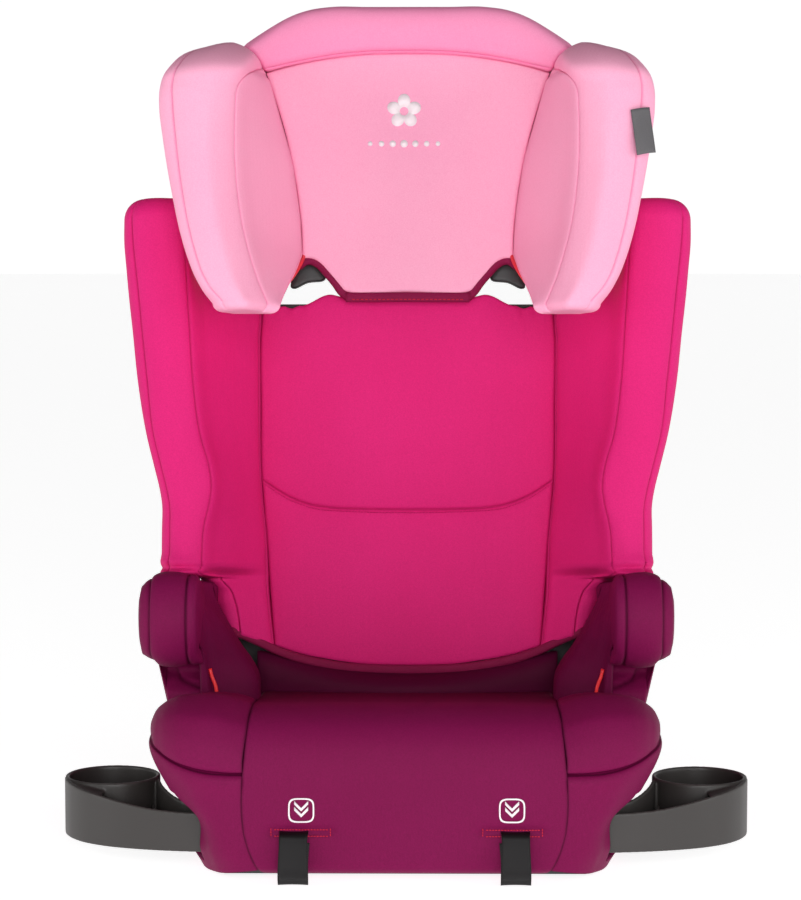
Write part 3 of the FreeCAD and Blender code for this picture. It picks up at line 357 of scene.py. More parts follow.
def stitches(line_points, spacing, length, radius):
    """Short sewn threads along a line, as small capsules."""
    line, total, _ = dense_loop(line_points, False)
    parts = []
    at = spacing / 2
    while at + length < total[-1]:
        ends = along(line, total, [at, at + length / 2, at + length])
        ends[:, 1] += [radius * 0.7, 0, radius * 0.7]
        parts.append(tube(ends, radius, 6, steps=4))
        at += spacing
    return merged(parts)


def merged(parts):
    """Several lists of points and faces as one."""
    verts, faces = [], []
    for v, f in parts:
        faces += shifted(f, len(verts))
        verts += list(v)
    return verts, faces


def mirrored(part, sign):
    """The part as it is, or on the left-hand side if the sign is -1."""
    return [np.array(v) * np.array([sign, 1, 1]) for v in part[0]], part[1]


def apply_modifiers(obj):
    """Turns the modifiers of an object into plain smooth mesh."""
    graph = bpy.context.evaluated_depsgraph_get()
    mesh = bpy.data.meshes.new_from_object(obj.evaluated_get(graph))
    obj.modifiers.clear()
    obj.data = mesh
    mesh.polygons.foreach_set("use_smooth", [True] * len(mesh.polygons))


def finish_piece(obj, body, material, slot, nodes=()):
    """Gives a piece its look and its body, and hides the nodes that it replaces."""
    obj.data.materials.clear()
    obj.data.materials.append(material)
    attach(obj, body)
    if nodes:
        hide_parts(*nodes)
    return obj


def add_part(name, part, leaning, body, material, slot, nodes=(), seam=0.0):
    """A finished piece straight from points and faces."""
    verts, faces = part
    obj = mesh_object(name, to_world(verts, leaning), faces, [seam] * len(verts))
    return finish_piece(obj, body, material, slot, nodes)


def paint_shade(obj, amount):
    """Painted shade: raises the seam attribute so the fabric gets darker in the folds between the
    pads and under parts, where shade falls.
    """
    seam = obj.data.attributes["seam"].data
    for k, vertex in enumerate(obj.data.vertices):
        x, y, z = vertex.co * 1000
        seam[k].value = max(seam[k].value, min(1.0, amount(abs(x), y, z)))


# ---------------------------------------------------------------- materials

def shader(name, color, rough, **sockets):
    """A material with its node tree and its main shader."""
    material = bpy.data.materials.new(name)
    material.use_nodes = True
    tree = material.node_tree
    bsdf = tree.nodes["Principled BSDF"]
    bsdf.inputs["Base Color"].default_value = (*color, 1)
    bsdf.inputs["Roughness"].default_value = rough
    for key, value in sockets.items():
        bsdf.inputs[key.replace("_", " ")].default_value = value
    return material, tree, bsdf


def node(tree, kind, **values):
    """A node with sockets or properties set by name."""
    made = tree.nodes.new(kind)
    for key, value in values.items():
        if key in made.inputs:
            made.inputs[key].default_value = value
        else:
            setattr(made, key, value)
    return made


def mix_color(tree, factor, first, second):
    """Colour between two colours or sockets."""
    mix = tree.nodes.new("ShaderNodeMix")
    mix.data_type = "RGBA"
    for socket, value in ((0, factor), (6, first), (7, second)):
        if isinstance(value, bpy.types.NodeSocket):
            tree.links.new(value, mix.inputs[socket])
        else:
            mix.inputs[socket].default_value = value if socket == 0 else (*value, 1)
    return mix.outputs[2]


def scaled(tree, factor, amount, base=0.0):
    """Socket value times an amount, plus a base."""
    math_node = node(tree, "ShaderNodeMath", operation="MULTIPLY_ADD")
    tree.links.new(factor, math_node.inputs[0])
    math_node.inputs[1].default_value = amount
    math_node.inputs[2].default_value = base
    return math_node.outputs[0]


def textures(tree, *found):
    """Gives the textures the object's own coordinates."""
    place = node(tree, "ShaderNodeTexCoord").outputs["Object"]
    for texture in found:
        tree.links.new(place, texture.inputs["Vector"])


def relief(tree, bsdf, height, strength, distance):
    """Lets a height texture bend the surface normal; the distance is in metres."""
    bump = node(tree, "ShaderNodeBump", Strength=strength, Distance=distance)
    tree.links.new(height, bump.inputs["Height"])
    tree.links.new(bump.outputs["Normal"], bsdf.inputs["Normal"])


def fabric(name, color, dark, light, knit=1500.0, rough=0.62, bump=0.35, sheen=0.03):
    """Knitted stretch cloth: ribs of loops, slight melange, darker thread in the seams, and painted
    shade from the same seam attribute.
    """
    material, tree, bsdf = shader(name, color, rough, Sheen_Weight=sheen, Sheen_Roughness=0.45,
                                  Sheen_Tint=(*light, 1), Specular_IOR_Level=0.1)
    cloud = node(tree, "ShaderNodeTexNoise", Scale=9.0, Detail=3.0)
    thread = node(tree, "ShaderNodeTexNoise", Scale=knit * 0.55, Detail=2.0)
    loops = node(tree, "ShaderNodeTexVoronoi", Scale=knit)
    ribs = node(tree, "ShaderNodeTexWave", Scale=knit / 5.5, Distortion=1.2)
    ribs.bands_direction = "X"
    textures(tree, cloud, thread, loops, ribs)
    tone = mix_color(tree, scaled(tree, cloud.outputs["Fac"], 0.9, -0.1), color, light)
    tone = mix_color(tree, scaled(tree, thread.outputs["Fac"], 0.5, -0.06), tone, dark)
    # The seam attribute darkens the cloth: darker thread at the seams, and painted shade in folds
    # and under parts.
    sewing = node(tree, "ShaderNodeAttribute", attribute_name="seam").outputs["Fac"]
    tone = mix_color(tree, scaled(tree, sewing, 0.75), tone, dark)
    tree.links.new(tone, bsdf.inputs["Base Color"])
    height = node(tree, "ShaderNodeMath", operation="ADD")
    tree.links.new(loops.outputs["Distance"], height.inputs[0])
    tree.links.new(ribs.outputs["Fac"], height.inputs[1])
    relief(tree, bsdf, height.outputs[0], bump, 0.00025)
    return material


def plastic(name, color, light, grain=900.0, rough=0.5, bump=0.25, wear_and_highlight=0.25):
    """Moulded plastic with a fine spark-eroded grain and lighter edges: slight wear, and a painted
    highlight along the rims.
    """
    material, tree, bsdf = shader(name, color, rough)
    fine = node(tree, "ShaderNodeTexNoise", Scale=grain, Detail=3.0)
    broad = node(tree, "ShaderNodeTexNoise", Scale=14.0, Detail=4.0)
    textures(tree, fine, broad)
    tone = mix_color(tree, scaled(tree, broad.outputs["Fac"], 0.7, -0.1), color, light)
    # Lighter pointy edges: partly wear, partly a painted highlight along the rims.
    geometry = node(tree, "ShaderNodeNewGeometry")
    edge = node(tree, "ShaderNodeMapRange", clamp=True)
    edge.inputs["From Min"].default_value = 0.52
    edge.inputs["From Max"].default_value = 0.62
    tree.links.new(geometry.outputs["Pointiness"], edge.inputs["Value"])
    tone = mix_color(tree, scaled(tree, edge.outputs["Result"], wear_and_highlight), tone,
                     tuple(min(1.0, c * 2.2 + 0.02) for c in light))
    tree.links.new(tone, bsdf.inputs["Base Color"])
    tree.links.new(scaled(tree, broad.outputs["Fac"], 0.16, rough - 0.08), bsdf.inputs["Roughness"])
    relief(tree, bsdf, fine.outputs["Fac"], bump, 0.0002)
    return material


def webbing(name, color, light):
    """Woven webbing: chevron ribs across the strap."""
    material, tree, bsdf = shader(name, color, 0.42, Specular_IOR_Level=0.3)
    ribs = node(tree, "ShaderNodeTexWave", Scale=420.0, Distortion=2.0)
    ribs.bands_direction = "Z"
    fine = node(tree, "ShaderNodeTexNoise", Scale=1400.0, Detail=2.0)
    textures(tree, ribs, fine)
    tone = mix_color(tree, scaled(tree, fine.outputs["Fac"], 0.6), color, light)
    tree.links.new(tone, bsdf.inputs["Base Color"])
    relief(tree, bsdf, ribs.outputs["Fac"], 0.4, 0.0003)
    return material


def metal(name, color):
    """Plated steel with uneven gloss."""
    material, tree, bsdf = shader(name, color, 0.34, Metallic=1.0)
    brush = node(tree, "ShaderNodeTexNoise", Scale=300.0, Detail=4.0)
    textures(tree, brush)
    tree.links.new(scaled(tree, brush.outputs["Fac"], 0.3, 0.2), bsdf.inputs["Roughness"])
    tone = mix_color(tree, scaled(tree, brush.outputs["Fac"], 0.4), color,
                     tuple(c * 0.7 for c in color))
    tree.links.new(tone, bsdf.inputs["Base Color"])
    return material


PINK = fabric("pink_knit", (0.95, 0.42, 0.6), (0.8, 0.2, 0.38), (0.98, 0.5, 0.66))
# Darker copy of the pink knit: painted shade for the headrest's top band, which faces away from the
# lights.
PINK_SHADED_TOP = fabric("pink_knit_painted_shade", (0.92, 0.31, 0.52), (0.76, 0.14, 0.33), (0.95, 0.37, 0.57))
MAGENTA = fabric("magenta_knit", (0.74, 0.017, 0.185), (0.36, 0.003, 0.07), (0.8, 0.026, 0.225))
PLUM = fabric("plum_knit", (0.2, 0.004, 0.064), (0.045, 0.0006, 0.014), (0.235, 0.007, 0.082))
BINDING = fabric("burgundy_tape", (0.25, 0.009, 0.062), (0.08, 0.002, 0.018), (0.31, 0.015, 0.08),
                 knit=2200.0, bump=0.6)
RED = plastic("red_cord", (0.78, 0.012, 0.02), (0.85, 0.03, 0.035), rough=0.42, wear_and_highlight=0.0)
THREAD = fabric("red_thread", (0.6, 0.02, 0.05), (0.35, 0.01, 0.03), (0.7, 0.04, 0.07),
                knit=2600.0)
# On the cup holder the strongly lightened rims are a painted highlight.
CUP = plastic("warm_grey_plastic", (0.034, 0.03, 0.028), (0.047, 0.042, 0.04), rough=0.45,
              wear_and_highlight=0.8)
BLACK = plastic("black_plastic", (0.012, 0.011, 0.012), (0.022, 0.021, 0.022), rough=0.45)
SHELL = plastic("grey_plastic", (0.026, 0.026, 0.028), (0.04, 0.04, 0.043), rough=0.5)
FOAM = plastic("black_foam", (0.014, 0.014, 0.016), (0.026, 0.026, 0.029), grain=420.0,
               rough=0.85, bump=0.9, wear_and_highlight=0.0)
RUBBER = plastic("grip_rubber", (0.018, 0.018, 0.018), (0.03, 0.03, 0.03), rough=0.8)
STRAP = webbing("black_webbing", (0.0022, 0.0015, 0.002), (0.007, 0.005, 0.006))
LABEL = fabric("grey_tab", (0.12, 0.115, 0.12), (0.05, 0.05, 0.055), (0.2, 0.19, 0.2),
               knit=2600.0)
PRINT = fabric("white_print", (0.93, 0.88, 0.9), (0.8, 0.7, 0.74), (0.96, 0.93, 0.95),
               rough=0.5, bump=0.15)
STEEL = metal("zinc_steel", (0.6, 0.6, 0.62))


# ---------------------------------------------------------------- headrest

# height, lens seam x, pad seam x, outer seam x, outline x, back corner x, depth
HEAD_ROWS = (
    (468, 127, 116, 170, 179, 166, -26),
    (478, 131, 114.5, 179, 187, 168, -6),
    (490, 136, 112, 186.5, 194, 168, 20),
    (510, 142.5, 106.5, 194, 202, 156, 60),
    (532, 148.5, 102, 200, 208.5, 142, 98),
    (571, 155, 105, 207.5, 217, 150, 102),
    (600, 157.5, 109, 211.5, 222.5, 160, 102),
    (622, 158, 112.5, 214, 226, 168, 102),
    (650, 157.5, 120, 216.5, 229.5, 174, 102),
    (668, 156, 125, 217, 229, 175, 102),
)
HEAD_CROWN = (
    ((133, 80, 697), (138, 46, 694), (143, 12, 690), (147, -20, 688), (153, -50, 690),
     (180, -68, 690), (211, -60, 689), (221.5, -43, 688), (212, 6, 691), (189, 66, 694),
     (173, 100, 694), (140, 103, 694)),
    ((136, 80, 702.5), (139, 60, 701), (142, 40, 699), (145, 20, 698), (148, -20, 703.5),
     (176, -44, 706), (202, -38, 704.5), (211, -22, 704), (203, 20, 705.5), (186, 66, 706),
     (172, 100, 704), (141, 103, 702)),
    ((138, 80, 706), (140, 68, 705), (142, 56, 704), (144, 44, 704), (148, 10, 713),
     (169, -14, 717.5), (189, -8, 716), (197, 2, 715.5), (191, 32, 716.5), (181, 68, 717),
     (170, 100, 713), (141, 103, 705.5)),
    ((138.5, 80, 708), (139.5, 74, 708), (140.5, 68, 708), (141.5, 62, 708), (146, 40, 717.5),
     (161, 22, 724.5), (175, 24, 724.5), (182, 32, 725), (179, 50, 725.5), (173, 74, 725.5),
     (165, 100, 722.5), (141, 103, 708)),
    ((139, 80, 710), (139.4, 78, 710), (139.8, 76, 710.5), (140.5, 74, 711), (143.5, 66, 717),
     (150, 62, 724), (157, 63, 729), (161, 68, 731.5), (164, 78, 733), (162, 90, 733),
     (157, 102, 730.5), (140, 103, 710)),
)


def head_wing_row(height, lens, pad, outer, outline, rear, depth):
    """One level of a headrest wing, from the pad round the nose to the back."""
    seat = min(80.0, depth - 14)
    return (
        (pad, seat, height),
        (pad + (lens - pad) * 0.36, seat + (-50 - seat) * 0.34, height),
        (pad + (lens - pad) * 0.74, seat + (-50 - seat) * 0.7, height),
        (lens, -50, height),
        (lens + 12, -66, height),
        ((lens + outer) / 2 + 1, -75, height),
        (outer, -66, height),
        (outline, -46, height),
        (outline + (rear - outline) * 0.42, -46 + (depth + 46) * 0.42, height),
        (outline + (rear - outline) * 0.85, -46 + (depth + 46) * 0.85, height),
        (rear, depth, height),
        (pad + 6, depth + 1, height),
    )


def head_wing(word, sign):
    """Padded side wing of the headrest."""
    keys = [head_wing_row(*row) for row in HEAD_ROWS] + list(HEAD_CROWN)
    keys = np.array(keys, float)
    knots = np.array([row[0] for row in HEAD_ROWS] + [692, 706, 718, 728, 736], float)
    rows = curve(knots, keys, np.linspace(knots[0], knots[-1], 74))
    seams = {0, 3, 6}
    grid, near = skin(rows, [8, 7, 7, 4, 8, 8, 3, 8, 8, 5, 5, 4], seams)
    grid = sewn(grid, near, outward(grid, True), depth=1.2, swell=1.4)
    grid, near = rounded_end(grid, near, 8, False, inset=9)
    obj = skin_object(f"headrest_wing_cover_{word}", grid, near, True, sign)
    return finish_piece(obj, "headrest", PINK, "pink_fabric", [f"headrest_wing_{word}"])


def head_top_row(x, low, high):
    """One upright section of the band above the middle pad."""
    middle = (low + high) / 2
    return ((x, 81, low), (x, 75, low + 6), (x, 71, middle), (x, 74, high - 8), (x, 85, high),
            (x, 97, high - 2), (x, 103, high - 10), (x, 104, low + 4), (x, 92, low - 1))


HEAD_TOP_END = ((140.5, 76, 710), (143.5, 67.5, 716.5), (149.5, 62.5, 724), (156.5, 63, 729),
                (163, 76, 733), (162, 91, 733), (157, 102, 730.5), (142, 103, 713),
                (139, 92, 709))


def head_top():
    """Padded band above the middle pad of the headrest."""
    half = [(0, 729, 774), (40, 728, 774), (75, 724.5, 774), (100, 720, 770), (120, 715.5, 762)]
    right = [head_top_row(*row) for row in half] + [HEAD_TOP_END]
    left = [[(-x, y, z) for x, y, z in row] for row in reversed(right[1:])]
    keys = np.array(left + right, float)
    knots = [-148, -120, -100, -75, -40, 0, 40, 75, 100, 120, 148]
    rows = curve(knots, keys, np.linspace(-148, 148, 80))
    grid, near = skin(rows, [3, 4, 4, 4, 4, 3, 4, 2, 3], {0})
    ends = np.minimum(np.arange(len(grid)), np.arange(len(grid))[::-1])[:, None] * 3.7
    near = np.minimum(near, ends + np.zeros_like(near))
    grid = sewn(grid, near, outward(grid, True), depth=1.0, swell=1.2)
    obj = skin_object("headrest_top_cover", grid, near, True)
    # The top band uses the pink knit with painted shade.
    return finish_piece(obj, "headrest", PINK_SHADED_TOP, "pink_fabric", ["headrest_top_pad"])


def panel(shares, lifts, first, second, side, guess, depth):
    """Grid of points between two curved edges (x, z); its half width follows the side (z, x)."""
    grid = np.zeros((len(lifts), len(shares), 3))
    for r, lift in enumerate(lifts):
        for c, share in enumerate(shares):
            x = abs(share) * guess
            for _ in range(4):
                start, end = (table(edge, [min(x, edge[-1][0])])[0, 0] for edge in (first, second))
                z = start + (end - start) * lift
                x = abs(share) * table(side, [z])[0, 0]
            grid[r, c] = math.copysign(x, share), depth(abs(share)), z
    return grid


def head_depth(share):
    """Depth of the headrest's middle pad; the share is 0 in the middle and 1 at its side."""
    return 84 - 4.0 * share ** 2.2


def head_pad():
    """Middle pad: its lower edge follows the hem and the two arches."""
    x_low = ((0, 494), (56, 494), (62, 496), (67, 501.5), (75, 510.5), (83, 520), (90, 525.5),
             (97, 527), (106, 524))
    x_high = ((0, 728.5), (40, 727.5), (75, 723.5), (104, 718), (125, 712.5), (139, 708))
    side = ((494, 104), (523, 102.5), (545, 102.5), (574, 105), (618, 112), (652, 120),
            (682, 129), (708, 138))
    shares = both_ways(np.concatenate([np.linspace(0, 0.94, 34), [0.965, 0.985, 0.995, 1.0]]))
    lifts = np.concatenate([[0, 0.003, 0.008, 0.016, 0.03], np.linspace(0.05, 0.95, 44),
                            [0.97, 0.984, 0.992, 0.997, 1]])
    front = panel(shares, lifts, x_low, x_high, side, 125, head_depth)
    edge_z = np.minimum(lifts, 1 - lifts) * 230
    near = np.minimum((1 - np.abs(shares)) * 115, edge_z[:, None])
    crown = 2.2 * (1 - np.exp(-near / 9.0)) - 1.0 * np.exp(-(near / SEAM_WIDTH) ** 2)
    front[..., 1] += 2.2 - crown
    return closed_pad("headrest_center_cover", front, near, 103.5, PINK, "headrest",
                      "pink_fabric", ["headrest_center_pad"])


def closed_pad(name, front, near, rear, material, body, slot, nodes):
    """Front surface, side walls and a flat back, as one closed mesh."""
    back = front.copy()
    back[..., 1] = rear
    verts, faces = two_sided(front, back)
    seam = list(np.exp(-(near / SEAM_WIDTH) ** 2).ravel()) + [0.0] * near.size
    obj = mesh_object(name, to_world(verts, True), faces, seam)
    return finish_piece(obj, body, material, slot, nodes)


def head_trim():
    """Hem tape and arch bindings with the red cord on their outer side."""
    arch = [(57, 90, 489), (64, 89, 495), (70, 88.5, 503.5), (78, 88, 513), (86, 88, 521.5),
            (94, 88, 525.5), (101, 86, 524), (106, 82, 519)]
    parts = [ribbon([(x, 84.5 + abs(x) / 60 * 2, 489) for x in range(-60, 61, 6)], 9.5, 5.0)]
    for sign in SIDES.values():
        parts.append(mirrored(tube(arch, 4.6, 10, squash=0.9), sign))
    add_part("headrest_binding", merged(parts), True, "headrest", BINDING, "dark_binding")
    cord = [(101, 86, 530), (101.5, 79, 526), (104, 66, 517.5), (108, 50, 507.5), (113, 30, 497),
            (117.5, 10, 487), (119, -8, 479)]
    cords = merged([mirrored(tube(cord, 1.9, 8), sign) for sign in SIDES.values()])
    add_part("headrest_red_cord", cords, True, "headrest", RED, "red_trim")
    hem = [(x, 81.6 + abs(x) / 60 * 2, 486.6) for x in range(-56, 57, 8)]
    add_part("headrest_hem_stitches", stitches(hem, 4.2, 2.6, 0.45), True, "headrest", THREAD,
             "red_trim")


def ribbon(points, height, thick):
    """A soft tape that stands upright along a line: width is vertical."""
    line, length, _ = dense_loop(points, False)
    count = max(10, int(length[-1] / 3))
    path = along(line, length, np.linspace(0, length[-1], count))
    forward = np.gradient(path, axis=0)
    forward[:, 2] = 0
    forward /= np.linalg.norm(forward, axis=1, keepdims=True)
    out = np.stack([forward[:, 1], -forward[:, 0], np.zeros(count)], axis=1)
    out *= np.where(out[:, 1:2] > 0, -1, 1)
    verts = []
    shape = ((-0.5, 0.0), (-0.47, 0.28), (-0.36, 0.46), (-0.12, 0.56), (0.12, 0.56), (0.36, 0.46),
             (0.47, 0.28), (0.5, 0.0), (0.47, -0.28), (0.36, -0.46), (-0.36, -0.46),
             (-0.47, -0.28))
    for p, n in zip(path, out):
        for z, d in shape:
            verts.append(p + np.array([0, 0, z * height]) + n * d * thick)
    return verts, tube_faces(count, len(shape))


def flat_shape(outline, y, thick=0.5):
    """A thin raised print: outline in X-Z, standing just in front of the given depth."""
    count = len(outline)
    verts = [(x, y(x, z) - thick, z) for x, z in outline]
    verts += [(x, y(x, z) + 1.0, z) for x, z in outline]
    faces = [tuple(range(count))]
    faces += [(k, (k + 1) % count, (k + 1) % count + count, k + count) for k in range(count)]
    faces.append(tuple(range(count, 2 * count))[::-1])
    return verts, faces


def ring_shape(outer, inner, y, thick=0.5):
    """A thin raised outline between two loops of equal length."""
    n = len(outer)
    verts = []
    for loop, lift in ((outer, -thick), (inner, -thick), (inner, 1.0), (outer, 1.0)):
        verts += [(x, y(x, z) + lift, z) for x, z in loop]
    faces = []
    for k in range(n):
        j = (k + 1) % n
        for a, b in ((0, 1), (1, 2), (2, 3), (3, 0)):
            faces.append((a * n + k, a * n + j, b * n + j, b * n + k))
    return verts, faces


def belt_guides():
    """Black guides for the shoulder belt under the arches."""
    outline = [(80.5, 511), (84, 507.6), (98, 506), (110, 500.5), (115, 502), (113, 512),
               (108, 523), (99, 528), (89, 526), (82, 518)]
    for word, sign in SIDES.items():
        line, length, _ = dense_loop([(x, 0, z) for x, z in outline], True)
        loop = along(line, length, np.linspace(0, length[-1], 60, endpoint=False))
        middle = loop.mean(axis=0)
        rows = []
        for y, inset in ((105.5, 2.2), (106.0, 1.0), (107.4, 0.2), (109, 0), (114, 0),
                         (116, 0.5), (117, 2.0)):
            ring = middle + (loop - middle) * (1 - inset / 18)
            ring[:, 1] = y
            rows.append(ring)
        grid = np.stack(rows)
        obj = skin_object(f"belt_guide_moulding_{word}", grid, np.full(grid.shape[:2], NO_SEAM),
                          True, sign)
        finish_piece(obj, "headrest", BLACK, "black_plastic", [f"shoulder_belt_guide_{word}"])


def head_motif():
    """A five-petal flower over a row of dots."""
    def depth(x, _):
        return head_depth(min(1.0, abs(x) / 126.0))
    cx, cz = -3.7, 671
    petals = []
    for k in range(120):
        a = 2 * math.pi * k / 120 + math.pi / 2
        radius = 17.0 * (0.56 + 0.44 * abs(math.cos(2.5 * (a - math.pi / 2))) ** 0.75)
        petals.append((cx + radius * math.cos(a), cz + radius * math.sin(a)))
    hole = circle(cx, cz, 4.2, 120, math.pi / 2)
    parts = [ring_shape(petals, hole, depth)]
    for k in range(-3, 4):
        dot = circle(cx + k * 11.0, 639, 3.6 - abs(k) * 0.45, 28)
        parts.append(flat_shape(dot, depth))
    add_part("headrest_flower_print", merged(parts), True, "headrest", PRINT, "pink_fabric")


def side_tab():
    """Plain folded fabric tab sewn into the outer seam of the right wing."""
    rows = []
    for t in np.linspace(0, 1, 12):
        x = 208 + 17.5 * t
        y = -73.5 + 10 * t * t
        rows.append([(x - 2.8 * s, y + 0.6 * math.sin(3 * s), 624.5 + 21.0 * s + 4.2 * (t - 0.5))
                     for s in np.linspace(-1, 1, 14)])
    grid = np.array(rows)
    half_thick = grid_normals(grid, False) * 0.6
    add_part("side_tab_cloth", two_sided(grid + half_thick, grid - half_thick), True, "headrest",
             LABEL, "grey_label", ["side_label"])


# ---------------------------------------------------------------- backrest

# height, pad seam x, inner seam x, outer seam x, outline x
BACK_ROWS = (
    (226, 135.5, 190, 223, 230),
    (240, 136, 189.5, 223, 230.5),
    (262, 137, 188, 223, 230.5),
    (285, 139.5, 183, 223.5, 230.5),
    (300, 141, 181, 226.5, 233),
    (318, 142, 183, 231, 237.5),
    (350, 143, 192, 239, 245.5),
    (400, 143.5, 199, 245, 254),
    (450, 144, 202.5, 250.5, 259.5),
    (480, 146, 204.5, 253.5, 263),
    (506, 176, 206, 256.5, 265.5),
    (535, 179, 208.5, 259.5, 268),
    (554, 182, 211, 260.5, 268),
)


def back_wing_row(height, pad, inner, outer, outline):
    """One level of a backrest wing, from the pad round the nose to the back."""
    return (
        (pad, 100, height),
        (pad + (inner - pad) * 0.42, 60, height),
        (pad + (inner - pad) * 0.8, 22, height),
        (inner, -4, height),
        (inner + (outer - inner) * 0.3, -10, height),
        (inner + (outer - inner) * 0.68, -10.5, height),
        (outer, -3, height),
        (outline, 14, height),
        (outline - 2, 60, height),
        (outline - 9, 108, height),
        (outline - 22, 119, height),
        ((pad + outline) / 2, 119.5, height),
        (pad + 2, 118, height),
    )


# Below the armrests the wing narrows: pad seam, then inner seam and its depth, outer corner.
HIP_ROWS = (
    (153, 129, 160, 74, 183, 85),
    (176, 132, 162, 72, 185.5, 83),
    (195, 134, 165, 69, 189, 81),
    (204, 134.8, 168.5, 66, 191, 79),
    (210, 135.2, 174, 59, 194.5, 76),
    (213.5, 135.4, 176.5, 55, 198, 74),
    (216, 135.5, 178, 52.5, 199.5, 72),
)


def hip_row(height, pad, inner, depth, corner, corner_depth):
    """One level of the part of a wing that tucks in behind the armrest."""
    tilt = 0.42 * max(0.0, 1 - (height - 149) / 45)
    points = (
        (pad, 100), (pad + (inner - pad) * 0.4, 100 + (depth - 100) * 0.42),
        (pad + (inner - pad) * 0.8, 100 + (depth - 100) * 0.8), (inner, depth),
        (inner + (corner - inner) * 0.5, depth + 1), (corner, corner_depth),
        (corner + 0.5, corner_depth + 8), (corner + 0.5, 100), (corner, 108), (corner - 3, 115),
        (corner - 8, 118.5), ((pad + corner) / 2, 119), (pad + 2, 118),
    )
    return [(x, y, height + tilt * (x - 129)) for x, y in points]


def back_wing(word, sign):
    """Padded side wing of the backrest with its hip part."""
    keys = [hip_row(*row) for row in HIP_ROWS]
    keys.append(((135.5, 100, 218.5), (158, 74, 218.5), (179, 44, 218.5), (190, 8, 218),
                 (198, 1, 217.5), (210, 2, 217.5), (218, 10, 217.5), (223, 26, 217.5),
                 (223, 66, 217.5), (215, 106, 217.5), (205, 116, 217.5), (176, 119, 218),
                 (137.5, 118, 218)))
    keys += [back_wing_row(*row) for row in BACK_ROWS]
    knots = [row[0] for row in HIP_ROWS] + [219] + [row[0] for row in BACK_ROWS]
    at = spaced(knots[0], knots[-1], 110)
    at = np.unique(np.concatenate([at, np.linspace(214, 232, 20)]))
    rows = curve(knots, np.array(keys, float), at)
    seams = {0, 3, 6}
    grid, near = skin(rows, [8, 7, 4, 4, 7, 5, 3, 6, 6, 4, 4, 5, 4], seams)
    hidden = (grid[..., 2] < 222) & (grid[..., 0] > 174) & (grid[..., 1] > 60)
    near = np.where(hidden, NO_SEAM, near)
    grid = sewn(grid, near, outward(grid, True), depth=1.3, swell=1.8)
    grid, near = rounded_end(grid, near, 21, True, steps=10, inset=24)
    grid, near = rounded_end(grid, near, 4, False, steps=3)
    obj = skin_object(f"backrest_wing_cover_{word}", grid, near, True, sign)
    return finish_piece(obj, "backrest", MAGENTA, "magenta_fabric", [f"backrest_wing_{word}"])


def back_pad():
    """Middle pad of the back in two panels, with the curved lumbar seam between them."""
    low = ((0, 132.5), (40, 133.5), (69, 137), (103, 143.5), (128, 151.5), (150, 160))
    high = ((0, 489.5), (58, 489.5), (66, 491.5), (77, 493.5), (85, 491), (93, 486.5),
            (104, 482), (115, 480.5), (131, 483.5), (150, 486))
    lumbar = ((0, 283.5), (42, 284), (81, 286), (95, 288.5), (113, 295), (124, 301), (142, 313))
    side = ((131, 126), (151, 128.5), (205, 133), (248, 136), (292, 140), (317, 142), (390, 143),
            (449, 143.5), (472, 142), (490, 140))
    shares = both_ways(np.concatenate([np.linspace(0, 0.945, 40),
                                       [0.965, 0.982, 0.992, 0.997, 1.0]]))
    fine = np.array([0.004, 0.009, 0.016, 0.028])
    low_lifts = np.concatenate([[0], fine, np.linspace(0.05, 0.95, 26), 1 - fine[::-1]])
    high_lifts = np.concatenate([[0], fine * 0.8, np.linspace(0.04, 0.96, 38),
                                 1 - fine[::-1] * 0.6, [1.0]])
    low_front = panel(shares, low_lifts, low, lumbar, side, 135, lambda share: 98.0)
    high_front = panel(shares, high_lifts, lumbar, high, side, 135, lambda share: 98.0)
    front = np.concatenate([low_front, high_front])
    edge_x = (1 - np.abs(shares)) * 140
    seam_z = np.concatenate([(1 - low_lifts) * 150, high_lifts * 190])
    end_z = np.concatenate([low_lifts * 150, (1 - high_lifts) * 190])
    seam = np.minimum(edge_x, seam_z[:, None])
    near = np.minimum(seam, end_z[:, None])
    crown = 3.2 * (1 - np.exp(-near / 11.0)) - 0.9 * np.exp(-(near / SEAM_WIDTH) ** 2)
    front[..., 1] += 2.6 - crown
    edge = np.clip((front[..., 2] - 468) / 14, 0, 1)
    gather = np.clip((np.abs(front[..., 0]) - 98) / 8, 0, 1) * edge ** 2
    front[..., 1] -= gather * 1.6 * np.sin(front[..., 0] * 2 * math.pi / 4.6)
    front[..., 2] += gather * 1.1 * np.cos(front[..., 0] * 2 * math.pi / 4.6)
    return closed_pad("backrest_center_cover", front, seam, 119.5, MAGENTA, "backrest",
                      "magenta_fabric", ["backrest_center_pad"])


def back_trim():
    """Elastic tape along the lower edge of the back and the double row beside the lumbar seam."""
    right = [(0, 96, 128.5), (40, 96, 129.3), (69, 96, 132), (103, 96.5, 138.8), (126, 97, 146.5),
             (144, 91, 155), (158, 82, 161.5), (168, 75, 165), (176, 75, 168)]
    line = [(-x, y, z) for x, y, z in reversed(right[1:])] + right
    add_part("backrest_hem_tape", ribbon(line, 9.0, 6.0), True, "backrest", BINDING,
             "dark_binding", ["backrest_hem"])
    lumbar = [(142, 309.8), (124, 297.8), (113, 291.8), (95, 285.3), (81, 282.8), (42, 280.8),
              (0, 280.3)]
    points = [(-x, 97.4, z) for x, z in lumbar] + [(x, 97.4, z) for x, z in lumbar[-2::-1]]
    sewing = merged([stitches([(x, y - 1.2, z + 4.0) for x, y, z in line], 3.4, 2.2, 0.4),
                     stitches(points, 3.0, 2.1, 0.32)])
    add_part("backrest_stitches", sewing, True, "backrest", MAGENTA, "magenta_fabric", seam=0.6)


# ---------------------------------------------------------------- base

